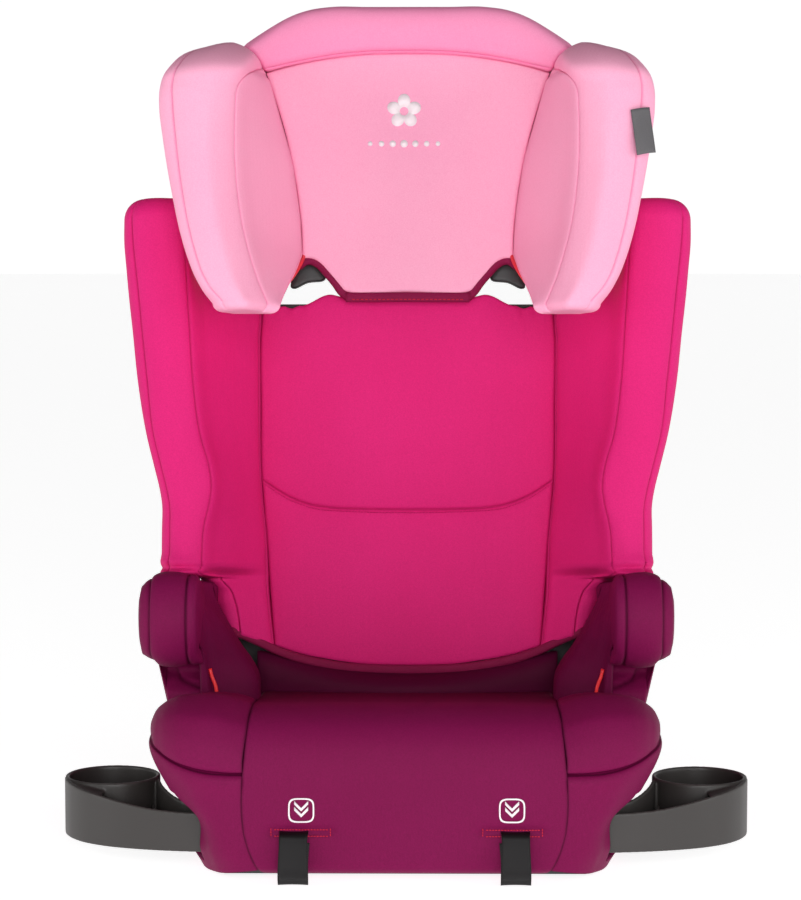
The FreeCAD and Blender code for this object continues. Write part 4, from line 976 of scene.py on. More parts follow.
# Profile of the seat cushion from the lower front edge over the crest to the back (y, z),
# and the half width of the seam at each place.
CUSHION = (
    (-168, 4.5, 122), (-188, 5.5, 123.5), (-197, 9, 125.5), (-200.5, 14, 128.5),
    (-202, 28, 134.5), (-203, 43, 138.5), (-204, 62, 140), (-203.5, 84, 140),
    (-201.5, 104, 138.5), (-196, 121, 137), (-185, 135, 135.5), (-169, 143, 134),
    (-148, 145.5, 133.5), (-118, 142.5, 134.5), (-80, 135.5, 136.5), (-30, 128.5, 138.5),
    (20, 122, 139), (70, 117.5, 139), (97, 115.5, 139),
)


def cushion_profile(count):
    """Even places along the profile: depth, height and half width."""
    profile = np.array([(0, y, z) for y, z, _ in CUSHION], float)
    line, length, marks = dense_loop(profile, False)
    at = np.linspace(0, length[-1], count)
    points = along(line, length, at)
    half = np.interp(at, marks, [row[2] for row in CUSHION])
    return points[:, 1], points[:, 2], half


def seat_cushion():
    """Top and front of the seat with the strap slits pressed in."""
    count = 120
    y, z, half = cushion_profile(count)
    shares = both_ways(np.concatenate([np.linspace(0, 0.94, 44),
                                       [0.962, 0.98, 0.991, 0.997, 1.0]]))
    tangent = np.stack([np.gradient(y), np.gradient(z)], axis=1)
    tangent /= np.linalg.norm(tangent, axis=1, keepdims=True)
    ny, nz = -tangent[:, 1], tangent[:, 0]
    grid = np.zeros((len(shares), count, 3))
    near = np.zeros((len(shares), count))
    for r, share in enumerate(shares):
        edge = (1 - abs(share)) * 139
        lift = -0.7 * math.exp(-edge / 5.0) - 0.4 * math.exp(-(edge / SEAM_WIDTH) ** 2)
        grid[r, :, 0] = share * half
        push = lift + strap_slot(share * half, z, y)
        grid[r, :, 1] = y + ny * push
        grid[r, :, 2] = z + nz * push
        near[r] = edge
    inner = [(97, 96), (-186, 96), (-187, 40), (-172, 9)]
    ring = []
    for r, share in enumerate(shares):
        ring.append([(share * (138 if b > 30 else 122), a, b) for a, b in inner])
    grid = np.concatenate([grid, np.array(ring)], axis=1)
    near = np.concatenate([near, np.full((len(shares), len(inner)), NO_SEAM)], axis=1)
    obj = skin_object("seat_cushion_cover", grid, near, False)
    # Painted shade: the sitting surface gets darker towards the back, where the backrest shades it.
    paint_shade(obj, lambda x, y, z: 0.6 * max(0.0, (y + 150) / 170) ** 0.7 if z > 100 else 0.0)
    return finish_piece(obj, "base", PLUM, "plum_fabric", ["seat_cushion"])


SKIRT_MIDDLE, SLOT_PLACE, SLOT_HEIGHT = 1.8, 90.8, 44.5


def strap_slot(x, z, y):
    """How far the slit for the strap presses the skirt in."""
    away_x = np.maximum(np.abs(np.abs(x - SKIRT_MIDDLE) - SLOT_PLACE) - 24.5, 0)
    away_z = np.abs(z - SLOT_HEIGHT)
    front = (y < -190).astype(float)
    slit = 3.4 * np.exp(-(away_z / 1.3) ** 2) * np.exp(-(away_x / 2.5) ** 2)
    dent = 1.6 * np.exp(-(away_z / 7.0) ** 2) * np.exp(-(away_x / 7.0) ** 2)
    tail = 0.8 * np.exp(-(away_z / 1.6) ** 2) * np.exp(-(away_x / 10.0) ** 2)
    return -(slit + dent + tail) * front


# Thigh bolster: loops (y, z) at each distance from the middle.
BOLSTER = (
    (139, ((-200.5, 95), (-202.5, 106), (-197.5, 120), (-186, 134.5), (-150, 146), (-110, 141.5),
           (-60, 133), (-14, 125.5), (-13, 97), (-100, 96.5))),
    (150, ((-200.5, 95), (-203, 108), (-198, 124), (-186, 139.5), (-151, 151), (-110, 145.5),
           (-60, 137), (-14, 129), (-13, 97), (-100, 96.5))),
    (167, ((-198.5, 96), (-201.5, 109), (-197, 126), (-185, 143), (-151, 154), (-110, 148),
           (-60, 139.5), (-14, 131), (-13, 97), (-100, 96.5))),
    (185, ((-195, 99), (-198, 110.5), (-194, 127), (-182, 143.5), (-150, 154), (-110, 148),
           (-60, 139.5), (-14, 130.5), (-13, 98), (-98, 99))),
    (201, ((-184.5, 103), (-189, 112.5), (-186, 127), (-174, 142), (-146, 151), (-108, 145.5),
           (-60, 137.5), (-14, 128.5), (-13, 101), (-94, 102.5))),
    (213, ((-168, 107.5), (-173, 114.5), (-171, 126.5), (-162, 137), (-140, 144), (-104, 140),
           (-60, 133), (-15, 125), (-14, 105), (-88, 106.5))),
    (221, ((-147, 111), (-153, 115.5), (-153, 124), (-146, 130.5), (-130, 135), (-100, 132.5),
           (-60, 127.5), (-17, 120.5), (-16, 108), (-82, 110.5))),
    (224.6, ((-127, 114.5), (-132, 117), (-133, 121.5), (-129, 125), (-120, 127), (-98, 126),
             (-60, 122.5), (-22, 117.5), (-21, 111.5), (-78, 114))),
)


def thigh_bolster(word, sign):
    """Raised side roll of the seat, from the cushion seam to the armrest."""
    knots = [row[0] for row in BOLSTER]
    keys = np.array([[(x, y, z) for y, z in loop] for x, loop in BOLSTER], float)
    shift = np.interp(keys[..., 1], [-203, -196, -185, -169, -148, -118, -80, -30, -14],
                      [0.3, 2.2, 3.8, 5.2, 5.6, 4.6, 2.6, 0.6, 0])
    fade = np.clip(1 - (keys[..., 0] - 139) / 12, 0, 1) * (keys[..., 2] > 115)
    keys[..., 0] -= shift * fade
    at = np.concatenate([[139, 139.7, 140.7, 142.5, 145.5, 149], np.linspace(153, 224.6, 34)])
    rows = curve(knots, keys, at)
    grid, near = skin(rows, [4, 5, 5, 8, 8, 8, 8, 6, 8, 8], {0})
    edge = (at - 139)[:, None] + np.zeros_like(near)
    near = np.minimum(near, edge)
    grid = sewn(grid, near, outward(grid, True), depth=0.35, swell=0.6, reach=8)
    obj = skin_object(f"thigh_bolster_cover_{word}", grid, near, False, sign)
    return finish_piece(obj, "base", PLUM, "plum_fabric", [f"thigh_bolster_{word}"])


# Plan of the side panel from the floor to the seam below the bolster: (x, y, z).
SIDE_FLOOR = ((125.7, -196, 9.5), (146.2, -193, 7), (158.2, -184, 4.5), (166.2, -171, 3),
              (173.2, -155, 1.5), (178.2, -138, 1), (181.2, -118, 0.8), (183.2, -60, 0.8),
              (183.2, 20, 0.8), (182.2, 100, 0.8), (180, 146, 1), (176, 168, 1.5), (168, 179, 2),
              (140.2, 181, 3))
SIDE_LOW = ((132.2, -200.5, 23), (152.2, -198, 22), (165.2, -188, 21), (172.7, -173, 20),
            (180.7, -155, 19), (187.2, -138, 19), (192.2, -118, 18), (196.2, -60, 18),
            (196.2, 20, 18), (194.2, 100, 18), (193, 148, 18), (189, 174, 18), (180, 183, 18),
            (144.2, 184, 18))
SIDE_MOUTH = ((138.2, -202.5, 46), (158.2, -200, 46), (171.2, -190, 46), (177.2, -173, 46),
              (181.7, -155, 46), (190.2, -138, 46), (196.2, -118, 46), (202.2, -60, 46),
              (202.2, 20, 46), (202.2, 100, 46), (201.5, 150, 46), (198.5, 175, 46),
              (191, 183.5, 46), (148.2, 184, 46))
SIDE_MIDDLE = ((139.7, -203, 70), (162.2, -201, 70), (180.2, -194, 70), (191.2, -180, 70),
               (200.7, -163, 70), (207.2, -145, 70), (210.7, -122, 70), (213.2, -60, 70),
               (210.7, 20, 70), (211, 100, 70), (210.5, 150, 70), (208, 175, 70), (200, 184, 70),
               (150.2, 184.5, 70))
SIDE_TOP = ((138.7, -200.5, 94), (167.2, -199.5, 95), (185.2, -195, 98), (201.2, -184.5, 102.5),
            (213.2, -169, 107), (221.7, -151, 110.5), (225.7, -126, 113), (226.2, -60, 114),
            (226.2, 20, 113), (225.5, 100, 109), (224.5, 150, 106), (221.5, 175, 104.5),
            (212, 184, 104), (154.2, 184.5, 104))


def side_cover(word, sign):
    """Lower side of the base in one sheet round the front corner, with the mouth of the bay."""
    top = np.array(SIDE_TOP, float)
    inward = np.array([120, -20, 0]) - top
    inward[:, 2] = 0
    tuck = top + 6 * inward / np.linalg.norm(inward, axis=1, keepdims=True) + [0, 0, 2.0]
    keys = np.array([SIDE_FLOOR, SIDE_LOW, SIDE_MOUTH, SIDE_MIDDLE, SIDE_TOP, tuck], float)
    knots = np.array([0, 20, 46, 70, 100, 106], float)
    levels = np.unique(np.concatenate([np.linspace(0, 100, 44), [10.6, 69.4, 102, 104, 106],
                                       100 - np.array(SEAM_STEPS)]))
    rows = curve(knots, keys, levels)
    counts = [10, 7, 7, 7, 6, 7, 16, 20, 20, 10, 6, 5, 8]
    grid, near = skin(rows, counts, {0}, closed=False)
    near = np.minimum(near, np.abs(100 - levels)[:, None] + np.zeros_like(near))
    normal = grid_normals(grid, False)
    if np.sum(normal[:, :, 0]) < 0:
        normal = -normal
    grid = sewn(grid, near, normal, depth=0.35, swell=0.6, reach=8)
    hole_y, hole_z = (-161.0, 40.0), (9.0, 69.6)
    rows_n, cols_n, _ = grid.shape
    inside = ((grid[..., 1] > hole_y[0]) & (grid[..., 1] < hole_y[1])
              & (grid[..., 2] > hole_z[0]) & (grid[..., 2] < hole_z[1]) & (grid[..., 0] > 160))
    grid = grid * np.array([sign, 1, 1])
    faces = []
    for face in grid_faces(rows_n, cols_n, False):
        if not all(inside.reshape(-1)[i] for i in face):
            faces.append(face)
    seam = np.exp(-(near / SEAM_WIDTH) ** 2)
    obj = mesh_object(f"base_side_cover_{word}", to_world(grid, False), faces, seam)
    drop_loose(obj.data)
    solid = obj.modifiers.new("thickness", "SOLIDIFY")
    solid.thickness = 0.006
    solid.offset = -1.0 if points_out(obj) else 1.0
    apply_modifiers(obj)
    return finish_piece(obj, "base", PLUM, "plum_fabric", [f"base_side_panel_{word}"])


def drop_loose(mesh):
    """Removes vertices that no face uses."""
    work = bmesh.new()
    work.from_mesh(mesh)
    loose = [v for v in work.verts if not v.link_faces]
    bmesh.ops.delete(work, geom=loose, context="VERTS")
    work.to_mesh(mesh)
    work.free()


def points_out(obj):
    """True if the open sheet's faces look away from the middle plane."""
    total = sum(p.normal.x * p.area * (1 if p.center.x > 0 else -1) for p in obj.data.polygons)
    return total > 0


def rear_band():
    """Roll of upholstery behind the sitting surface, higher towards its ends."""
    places = (-145, -128, -100, -50, 0, 50, 100, 128, 145)
    rows = []
    for x in places:
        bulge = 16 * max(0.0, math.cos(x / 145 * math.pi / 2)) ** 1.2
        rise = 18 * (x / 136) ** 2
        rows.append(((x, 100 - bulge * 0.9, 110 - bulge * 0.35), (x, 98 - bulge, 120 + rise * 0.4),
                     (x, 101 - bulge * 0.6, 129 + rise * 0.8), (x, 110, 133 + rise),
                     (x, 121, 130 + rise), (x, 124, 112), (x, 123, 97), (x, 106, 97)))
    at = np.concatenate([[-145, -144, -142, -138], np.linspace(-132, 132, 46),
                         [138, 142, 144, 145]])
    rows = curve(places, np.array(rows, float), at)
    grid, near = skin(rows, [3, 4, 4, 4, 4, 4, 4, 4], set())
    edge = (145 - np.abs(at))[:, None] + np.zeros_like(near)
    grid = sewn(grid, np.minimum(near, edge), outward(grid, True), depth=0.6, swell=1.6)
    obj = skin_object("seat_rear_cover", grid, near, False)
    # Painted shade: the whole roll is darkened, most towards its top under the hem of the back.
    paint_shade(obj, lambda x, y, z: 0.78 + 0.4 * min(1.0, max(0.0, (z - 112) / 25)))
    return finish_piece(obj, "base", PLUM, "plum_fabric", ["seat_rear_band"])


def print_square(cx, cz):
    """Rounded-square outline with a plain chevron inside it."""
    def depth(_, z):
        return -204.4 + 0.0002 * (z - 62) ** 2
    def loop(half, power=4.0):
        points = []
        for k in range(64):
            a = 2 * math.pi * k / 64
            c, s = math.cos(a), math.sin(a)
            r = half / (abs(c) ** power + abs(s) ** power) ** (1 / power)
            points.append((cx + r * c, cz + r * s * 0.95))
        return points
    parts = [ring_shape(loop(11.2), loop(9.9), depth, 0.45)]
    arrow = [(-6, 2.6), (0, -3.6), (6, 2.6), (6, -0.4), (0, -6.4), (-6, -0.4)]
    for rise in (0.0, 5.2):
        shape = [(cx + x, cz + z + 0.4 + rise) for x, z in arrow]
        parts.append(chevron(shape, depth))
    return merged(parts)


def chevron(points, y):
    """A bent bar from six corners: upper left, middle, right and lower right, middle, left."""
    return merged([flat_shape([points[i] for i in quad], y, 0.45)
                   for quad in ((0, 1, 4, 5), (1, 2, 3, 4))])


def skirt_details():
    """Red sewing round the slits and the printed squares above them."""
    sewing, prints = [], []
    for sign in SIDES.values():
        low, high = sorted(sign * x + SKIRT_MIDDLE for x in (66.8, 114.8))
        for z in (41.6, 47.2):
            points = [(x, -204.6, z) for x in np.linspace(low, high, 12)]
            sewing.append(stitches(points, 2.6, 1.7, 0.42))
        for x in (low - 1.5, high + 1.5):
            sewing.append(stitches([(x, -204.6, z) for z in (40.6, SLOT_HEIGHT, 48.4)],
                                   2.4, 1.6, 0.42))
        prints.append(print_square(sign * 90.3 + SKIRT_MIDDLE, 64))
    add_part("slot_stitches", merged(sewing), False, "base", THREAD, "red_trim")
    add_part("skirt_prints", merged(prints), False, "base", PRINT, "plum_fabric")


def strap(word, sign):
    """Webbing out of the slit and down to the floor, folded back on itself."""
    path = [(-172, 44.5), (-192, 44.5), (-203, 44), (-208.5, 39), (-211, 28), (-213, 15),
            (-214.5, 6), (-212.5, 1.8), (-208.5, 2.2), (-206.8, 6), (-206.6, 15), (-206.4, 27),
            (-205.5, 36)]
    line, length, _ = dense_loop([(0, y, z) for y, z in path], False)
    count = 90
    at = np.linspace(0, length[-1], count)
    centre = along(line, length, at)
    forward = np.gradient(centre, axis=0)
    forward /= np.linalg.norm(forward, axis=1, keepdims=True)
    normal = np.stack([np.zeros(count), -forward[:, 2], forward[:, 1]], axis=1)
    across = np.linspace(-1, 1, 15)
    grid = np.zeros((count, len(across), 3))
    for k, c in enumerate(centre):
        twist = 1.5 * math.sin(at[k] / length[-1] * math.pi)
        for j, s in enumerate(across):
            cup = 0.5 * (1 - s * s)
            width = 12.6 + 0.5 * math.sin(at[k] / 9.0)
            x = sign * (94 + twist) + s * width
            grid[k, j] = c + normal[k] * cup + np.array([x, 0, 0])
    half_thick = normal[:, None, :] * 0.75
    verts, faces = two_sided(grid + half_thick, grid - half_thick)
    verts = np.array(verts)
    verts[:, 2] = np.maximum(verts[:, 2], 0.6)
    return add_part(f"pull_strap_{word}", (verts, faces), False, "base", STRAP, "black_webbing",
                    [f"latch_strap_{word}"])


# Arm in side view (y, z): root, notch, nose, top and back.
ARM = ((10, 97), (2, 104), (-1, 118), (0, 131), (10, 140), (22, 148.5), (12, 156), (-8, 157.8),
       (-30, 159), (-47, 168.5), (-58, 186), (-61.5, 206), (-58, 223), (-48, 238), (-33, 246),
       (-12, 245.5), (6, 240.5), (19, 236.5), (45, 232.6), (80, 227.6), (108, 221), (123, 213),
       (128.5, 202), (129, 170), (129, 130), (128, 97))
# distance from the middle and how far the outline draws in there
ARM_SECTIONS = ((190, 8), (191, 5.2), (194, 3), (199.5, 1.6), (206, 0.7), (214, 0.1), (223, 0.3),
                (229, 1.6), (233, 3.4), (237.2, 7), (241.2, 11.5), (243.9, 17), (244.9, 24))
ARM_SEAMS = (199.5, 234.6)
RECESS_SEAM = ((224, 158), (218, 152), (210, 142), (195, 136.5), (182, 135.5))


def arm_width(x, y, z):
    """The root below the nose is narrower; the back part reaches the side of the backrest."""
    low = np.clip((172 - z) / 16, 0, 1)
    low = low * low * (3 - 2 * low)
    deep = np.clip((y - 46) / 18, 0, 1)
    deep = deep * deep * (3 - 2 * deep)
    limit = 216 + np.clip(z - 97, 0, 60) * 0.16
    outside = np.maximum(0, x - limit) * 0.92 * low
    inside = max(0.0, 201 - x) * 0.8 * np.maximum(low, deep)
    return x - outside - inside


def armrest(word, sign):
    """Padded armrest: a rounded band that follows the outline of the foam core."""
    base = np.array([(0, y, z) for y, z in ARM], float)
    forward = np.roll(base, -1, axis=0) - np.roll(base, 1, axis=0)
    normal = np.stack([np.zeros(len(base)), forward[:, 2], -forward[:, 1]], axis=1)
    normal /= np.linalg.norm(normal, axis=1, keepdims=True)
    if np.sum(normal * (base - np.array([0, 20, 190]))) < 0:
        normal = -normal
    keys = []
    upper = np.clip((base[:, 2] - 146) / 14, 0.12, 1)
    for x, inset in ARM_SECTIONS:
        points = base - normal * (inset * upper)[:, None]
        points[:, 0] = arm_width(x, points[:, 1], points[:, 2])
        keys.append(points)
    knots = [row[0] for row in ARM_SECTIONS]
    at = spaced(knots[0], knots[-1], 30, seams=ARM_SEAMS)
    rows = curve(knots, np.array(keys), at)
    grid, near = skin(rows, [3] * len(ARM), set())
    high = (grid[..., 2] > 157) & (grid[..., 1] < 118)
    for seam in ARM_SEAMS:
        away = np.abs(at - seam)[:, None] + np.zeros_like(near)
        near = np.where(high, np.minimum(near, away), near)
    seam_z = np.interp(grid[..., 0], [p[0] for p in RECESS_SEAM[::-1]],
                       [p[1] for p in RECESS_SEAM[::-1]])
    front = (grid[..., 1] < 40) & (grid[..., 2] < 160)
    near = np.where(front, np.minimum(near, np.abs(grid[..., 2] - seam_z) * 0.8), near)
    grid = sewn(grid, near, outward(grid, True), depth=1.3, swell=1.7, reach=8)
    obj = skin_object(f"armrest_cover_soft_{word}", grid, near, False, sign)
    return finish_piece(obj, "base", PLUM, "plum_fabric", [f"armrest_cover_{word}"])


# Lining between the arm and the sitting surface. For each depth: the lowest height, then the
# distance from the middle at each of the lining heights.
LINING = (
    (-36, 178, (189.8, 189.8, 189.8, 189.8, 189.8, 190.3, 190.8, 190.8, 191.3, 191.8)),
    (-24, 168, (186.3, 186.3, 186.3, 186.3, 186.8, 187.8, 188.8, 189.8, 191.3, 192.3)),
    (-15, 110, (179.3, 179.3, 179.8, 180.8, 182.3, 184.8, 186.8, 188.8, 191.3, 192.8)),
    (-6, 98, (167.8, 168.8, 170.3, 172.8, 175.8, 180.3, 183.8, 187.3, 191.3, 192.8)),
    (6, 97, (150.8, 151.8, 154.8, 160.8, 167.8, 175.3, 180.8, 186.3, 191.8, 193.3)),
    (20, 97, (139.3, 139.8, 141.8, 148.8, 158.3, 169.3, 176.8, 184.3, 191.8, 193.8)),
    (40, 97, (138.8, 138.8, 140.3, 147.8, 157.3, 168.3, 176.3, 183.3, 188.8, 190.8)),
    (61, 97, (138.8, 138.8, 140.3, 147.8, 157.3, 168.3, 174.8, 179.8, 183.8, 185.8)),
)
LINING_HEIGHTS = (100, 120, 139, 154, 167, 186, 198, 208, 219, 232)


def arm_lining(word, sign):
    """Lining on the inner side of an armrest, with painted shade that deepens towards its bottom.
    """
    keys = []
    for y, low, places in LINING:
        slope = [(x, y, max(z, low + 1.2 * k))
                 for k, (x, z) in enumerate(zip(places, LINING_HEIGHTS))]
        top = 233 - max(0, y - 15) * 0.14
        slope[-1] = (slope[-1][0], y, top - 1)
        keys.append([(188.5, y, low), *slope, (197.5, y, top - 1), (197.5, y, 200),
                     (191.5, y, max(170, low))])
    knots = [row[0] for row in LINING]
    rows = curve(knots, np.array(keys, float), spaced(-34, 61, 46))
    grid, near = skin(rows, [4, 4, 4, 4, 4, 4, 4, 4, 4, 4, 3, 3, 3, 4], set())
    obj = skin_object(f"armrest_lining_{word}", grid, near, False, sign)
    # Painted shade: darker towards the bottom of the lining, between the arm and the seat.
    paint_shade(obj, lambda x, y, z: 0.62 * max(0.0, min(1.0, (232 - z) / 60)))
    return finish_piece(obj, "base", PLUM, "plum_fabric", [f"armrest_inner_pad_{word}"])


def arm_cord(word, sign):
    """Red cord where the lap belt runs under the armrest."""
    line = [(181.1, -17.5, 156), (179.6, -17.5, 149), (177.1, -17.5, 143), (175.6, -17.5, 138),
            (175.1, -17.5, 134), (173.1, -17, 129), (172.6, -16, 123), (172.6, -15, 115)]
    return add_part(f"armrest_red_cord_{word}", mirrored(tube(line, 1.7, 8), sign), False,
                    "base", RED, "red_trim", [f"lap_belt_guide_{word}"])


# ---------------------------------------------------------------- cup holders

def wall(path, heights, low, thick):
    """A standing wall along a plan line, with a rounded top edge that follows the heights."""
    forward = np.gradient(path, axis=0)
    forward /= np.linalg.norm(forward, axis=1, keepdims=True)
    side = np.stack([forward[:, 1], -forward[:, 0]], axis=1)
    verts = []
    for p, n, top in zip(path, side, heights):
        ring = [(-1, low), (-1, top - 1), (-0.75, top - 0.3), (0, top), (0.75, top - 0.3),
                (1, top - 1), (1, low)]
        verts += [(p[0] + n[0] * s * thick / 2, p[1] + n[1] * s * thick / 2, z) for s, z in ring]
    return verts, tube_faces(len(path), len(ring))


def lathe(cx, cy, profile, sides=72):
    """A turned shape about a vertical axis."""
    verts = [(x, y, z) for radius, z in profile for x, y in circle(cx, cy, radius, sides)]
    return verts, grid_faces(len(profile), sides, True, True)


def cup_holder(word, sign):
    """Round well, bowed front wall and tray, made as one moulding."""
    cx, cy, px, py = 266.5, -60.0, 168.0, -142.0
    cup = [(0.01, 14.6), (41.5, 14.6), (42.4, 17), (42.9, 30), (43, 64.6), (42.4, 65.8),
           (41.2, 66), (39.6, 65.6), (39.1, 64), (39, 20), (36, 18.6), (0.01, 18.6)]
    parts = [lathe(cx, cy, cup)]
    bow = [(307.7, -68), (305, -82), (297.5, -99), (283.5, -116), (263.5, -129.5), (239.5, -139),
           (213.4, -145.5), (190.6, -149), (172, -150.2), (164, -148), (160, -142), (162, -135),
           (170, -130.5), (182.3, -127.5), (196.8, -121), (207.2, -111), (214.9, -99), (220.5, -86),
           (224.5, -72)]
    path = even_places([(x, y, 0) for x, y in bow], 150)[:, :2]
    top = np.interp(np.linspace(0, 1, len(path)),
                    [0, 0.06, 0.14, 0.24, 0.34, 0.42, 0.5, 0.6, 0.7, 0.8, 0.9, 1.0],
                    [65.5, 65.5, 64, 60.5, 55.5, 52, 50.5, 50, 50.5, 54, 60, 65])
    top = np.convolve(np.pad(top, 4, mode="edge"), np.ones(9) / 9, mode="valid")
    parts.append(wall(path, top, 15.2, 3.4))
    verts = [(x, y, z) for z in (15.0, 19.5) for x, y in path]
    n = len(path)
    faces = [tuple(range(n)), tuple(range(n, 2 * n))[::-1]]
    faces += [(k, (k + 1) % n, (k + 1) % n + n, k + n) for k in range(n)]
    parts.append((verts, faces))
    ledge = []
    for k in range(0, 37, 3):
        x, y = path[k]
        away = np.array([x - cx, y - cy])
        away *= 42.0 / np.linalg.norm(away)
        ledge.append(((x, y, top[k] - 1.2), (cx + away[0], cy + away[1], top[k] - 1.0)))
    verts = [p for pair in ledge for p in pair]
    verts += [(x, y, z - 2.6) for x, y, z in verts]
    n, half = len(ledge), 2 * len(ledge)
    faces = []
    for k in range(n - 1):
        a, b, c, d = 2 * k, 2 * k + 1, 2 * k + 3, 2 * k + 2
        faces += [(a, b, c, d), (d + half, c + half, b + half, a + half),
                  (a, d, d + half, a + half), (b, b + half, c + half, c)]
    faces += [(0, half, half + 1, 1), (2 * n - 2, 2 * n - 1, half + 2 * n - 1, half + 2 * n - 2)]
    parts.append((verts, faces))
    boss = [(3.3, 15.2), (9.4, 15.2), (9.6, 44), (8.8, 45.4), (3.3, 45.4)]
    parts.append(lathe(px, py, boss, 40))
    rib = [(224.5, -104), (226, -96), (227.5, -86)]
    rib_path = even_places([(x, y, 0) for x, y in rib], 12)[:, :2]
    parts.append(wall(rib_path, np.full(12, 44.0), 16, 2.2))
    verts, faces = mirrored(merged(parts), sign)
    obj = mesh_object(f"cup_holder_shell_{word}", to_world(verts, False), faces)
    remesh = obj.modifiers.new("mould", "REMESH")
    remesh.mode = "VOXEL"
    remesh.voxel_size = 0.0011
    smooth = obj.modifiers.new("fillet", "SMOOTH")
    smooth.factor = 0.5
    smooth.iterations = 4
    apply_modifiers(obj)
    return finish_piece(obj, f"cup_holder_{word}", CUP, "cup_plastic", [f"cup_holder_{word}"])


# ---------------------------------------------------------------- hard parts from the CAD

def each_side(*names):
    """The right and left node of each name."""
    return [f"{name}_{word}" for name in names for word in SIDES]


HARD = {
    BLACK: each_side("height_rack", "latch_button", "shoulder_belt_guide", "latch_connector")
    + ["headrest_slider", "headrest_spacer", "release_lever", "base_underside_cover"],
    SHELL: ["backrest_shell", "backrest_rear_cover", "headrest_shell"],
    FOAM: ["base_core"] + each_side("armrest_core"),
    RUBBER: ["anti_slip_pads"],
    STEEL: each_side("cup_holder_pin", "latch_hook", "hinge_hook", "lock_bolt")
    + ["underside_screws", "hinge_rod", "rear_cover_screws", "headrest_screws", "release_link"],
}
# parts with softened edges: width of the edge in millimetres, and the body
ROUNDED = {
    "backrest_shell": (2.6, "backrest"), "backrest_rear_cover": (3.5, "backrest"),
    "headrest_shell": (2.5, "headrest"), "headrest_slider": (0.8, "headrest"),
    "release_lever": (2.4, "release"), "base_core": (3.0, "base"),
    "base_underside_cover": (1.2, "base"), "latch_connector_left": (2.0, "base"),
    "latch_connector_right": (2.0, "base"),
}


def hard_parts():
    """Gives every hard CAD part its material."""
    for material, names in HARD.items():
        for name in names:
            slots = frame["nodes"][name].data.materials
            if len(slots) == 0:
                slots.append(material)
            for index in range(len(slots)):
                slots[index] = material


def rounded_copy(name, width, body, material, slot):
    """The same part with softened edges."""
    source = frame["nodes"][name]
    mesh = source.data.copy()
    mesh.name = f"{name}_moulded"
    work = bmesh.new()
    work.from_mesh(mesh)
    bmesh.ops.remove_doubles(work, verts=work.verts, dist=1e-5)
    bmesh.ops.dissolve_limit(work, angle_limit=math.radians(1.0), verts=work.verts,
                             edges=work.edges)
    if name in ("base_core", "base_underside_cover"):
        trim_corners(work)
    work.to_mesh(mesh)
    work.free()
    obj = bpy.data.objects.new(f"{name}_moulded", mesh)
    bpy.context.collection.objects.link(obj)
    bevel = obj.modifiers.new("edges", "BEVEL")
    bevel.width = width / 1000
    bevel.segments = 3
    bevel.limit_method = "ANGLE"
    bevel.angle_limit = math.radians(32)
    bevel.use_clamp_overlap = True
    bevel.harden_normals = False
    apply_modifiers(obj)
    obj.data.materials.clear()
    return finish_piece(obj, body, material, slot, [name])


def trim_corners(work):
    """Bevels the front corners and the lower front edge back behind the upholstery."""
    planes = [((0.146, -0.186, 0.04), (0.817, -0.577, 0)),
              ((-0.146, -0.186, 0.04), (-0.817, -0.577, 0)),
              ((0, -0.172, 0.006), (0, -0.75, -0.66))]
    for place, direction in planes:
        geometry = work.verts[:] + work.edges[:] + work.faces[:]
        cut = bmesh.ops.bisect_plane(work, geom=geometry, plane_co=place, plane_no=direction,
                                     clear_outer=True)
        edges = [e for e in cut["geom_cut"] if isinstance(e, bmesh.types.BMEdge)]
        bmesh.ops.holes_fill(work, edges=edges)


def moulded_parts():
    """Rounded copies of the hard parts that can be seen."""
    slots = {sub["node"] if "node" in sub else sub["name"]: sub.get("material_slot")
             for sub in frame["record"]["subparts"]}
    finish_of = {name: material for material, names in HARD.items() for name in names}
    for name, (width, body) in ROUNDED.items():
        rounded_copy(name, width, body, finish_of[name], slots.get(name) or "black_plastic")


# ---------------------------------------------------------------- stage, light and camera

FLOOR_RADIUS = 30
FLOOR_LIGHT = 0.84
FLOOR_PALE, FLOOR_DARK = (0.6, 0.597, 0.6), (0.57, 0.567, 0.57)
WORLD_BANDS = ((0.0, 1.0), (0.13, 1.0), (0.3, 0.3), (0.62, 0.06), (1.0, 0.06))
LIGHTS = (
    ("front_soft", (0.25, -3.4, 1.0), (0, 0, 0.42), (2.2, 1.7), 53),
    ("left_soft", (-2.8, -1.5, 1.0), (0, 0, 0.4), (1.2, 1.8), 19),
    ("right_soft", (2.8, -1.5, 1.0), (0, 0, 0.4), (1.2, 1.8), 20),
)
CAMERA_PLACE, CAMERA_TARGET, CAMERA_LENS = (0.02, -2.5, 0.563), (-0.0055, 0.0, 0.357), 108.8


def stage():
    """Plain pale floor that is lit from within a little."""
    floor = bpy.data.meshes.new("floor")
    verts = [(x, y, 0) for x, y in circle(0, 0, FLOOR_RADIUS, 48)]
    floor.from_pydata(verts, [], [tuple(range(48))])
    obj = bpy.data.objects.new("floor", floor)
    bpy.context.collection.objects.link(obj)
    material, tree, bsdf = shader("pale_floor", FLOOR_PALE, 0.8)
    noise = node(tree, "ShaderNodeTexNoise", Scale=4.0)
    tone = mix_color(tree, scaled(tree, noise.outputs["Fac"], 0.2), FLOOR_PALE, FLOOR_DARK)
    tree.links.new(tone, bsdf.inputs["Base Color"])
    bsdf.inputs["Emission Color"].default_value = (1, 1, 1, 1)
    bsdf.inputs["Emission Strength"].default_value = FLOOR_LIGHT
    floor.materials.append(material)


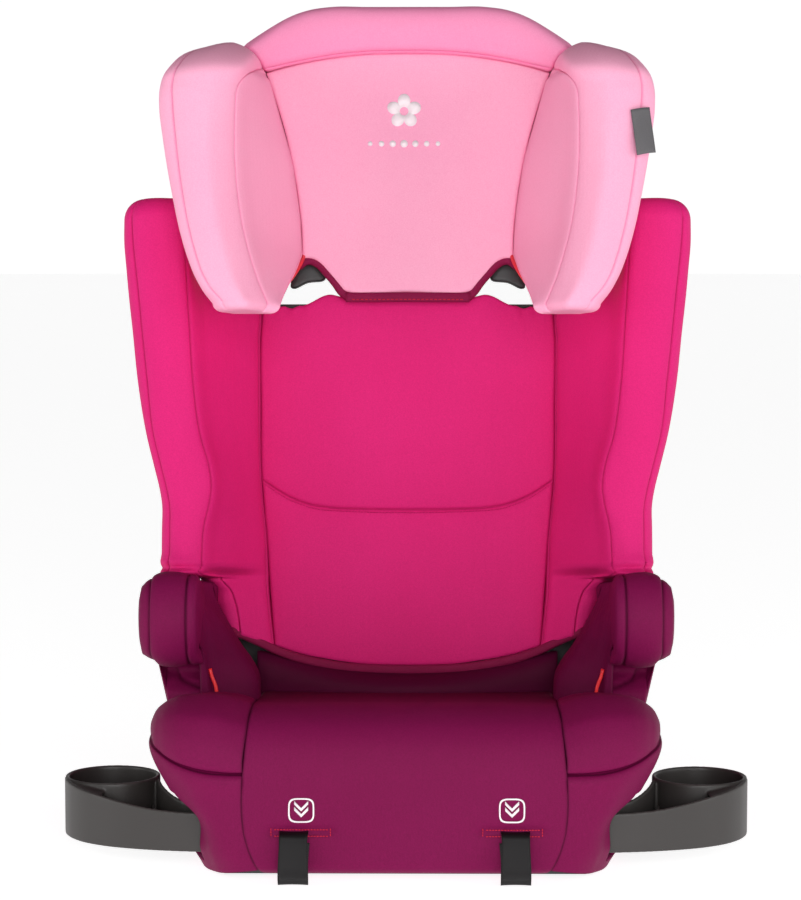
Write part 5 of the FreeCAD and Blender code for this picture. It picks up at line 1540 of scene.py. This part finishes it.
def area_light(name, place, target, size, power):
    """Rectangular light that points at a place."""
    data = bpy.data.lights.new(name, "AREA")
    data.shape = "RECTANGLE"
    data.size, data.size_y = size
    data.energy = power
    obj = bpy.data.objects.new(name, data)
    bpy.context.collection.objects.link(obj)
    obj.location = place
    aim(obj, target)


def aim(obj, target):
    """Points the -Z side of a light or camera at a place."""
    direction = np.array(target, float) - np.array(obj.location, float)
    yaw = math.atan2(direction[0], direction[1])
    pitch = math.atan2(direction[2], math.hypot(direction[0], direction[1]))
    obj.rotation_euler = (math.pi / 2 + pitch, 0, -yaw)


def lights():
    """White horizon that darkens upwards, a broad front light and two side lights."""
    world = bpy.data.worlds.new("studio")
    bpy.context.scene.world = world
    world.use_nodes = True
    tree = world.node_tree
    background = tree.nodes["Background"]
    place = node(tree, "ShaderNodeTexCoord")
    split = node(tree, "ShaderNodeSeparateXYZ")
    tree.links.new(place.outputs["Generated"], split.inputs[0])
    ramp = node(tree, "ShaderNodeValToRGB")
    stops = ramp.color_ramp.elements
    for spot, _ in WORLD_BANDS[1:-1]:
        stops.new(spot)
    for stop, (_, shade) in zip(stops, WORLD_BANDS):
        stop.color = (shade, shade, shade, 1)
    tree.links.new(split.outputs["Z"], ramp.inputs["Fac"])
    tree.links.new(ramp.outputs["Color"], background.inputs["Color"])
    background.inputs["Strength"].default_value = 1.02
    for light in LIGHTS:
        area_light(*light)
    bpy.context.scene.view_settings.view_transform = "Standard"


def camera():
    """Front view, looking slightly down at the seat."""
    data = bpy.data.cameras.new("camera")
    data.lens = CAMERA_LENS
    data.sensor_width = 36.0
    data.clip_end = 50
    obj = bpy.data.objects.new("camera", data)
    bpy.context.collection.objects.link(obj)
    obj.location = CAMERA_PLACE
    aim(obj, CAMERA_TARGET)
    bpy.context.scene.camera = obj


# ---------------------------------------------------------------- the whole seat

camera()
lights()
stage()
hard_parts()
moulded_parts()
head_top()
head_pad()
head_trim()
head_motif()
belt_guides()
side_tab()
back_pad()
back_trim()
seat_cushion()
rear_band()
skirt_details()
for side_word, side_sign in SIDES.items():
    head_wing(side_word, side_sign)
    back_wing(side_word, side_sign)
    thigh_bolster(side_word, side_sign)
    side_cover(side_word, side_sign)
    armrest(side_word, side_sign)
    arm_lining(side_word, side_sign)
    arm_cord(side_word, side_sign)
    strap(side_word, side_sign)
    cup_holder(side_word, side_sign)
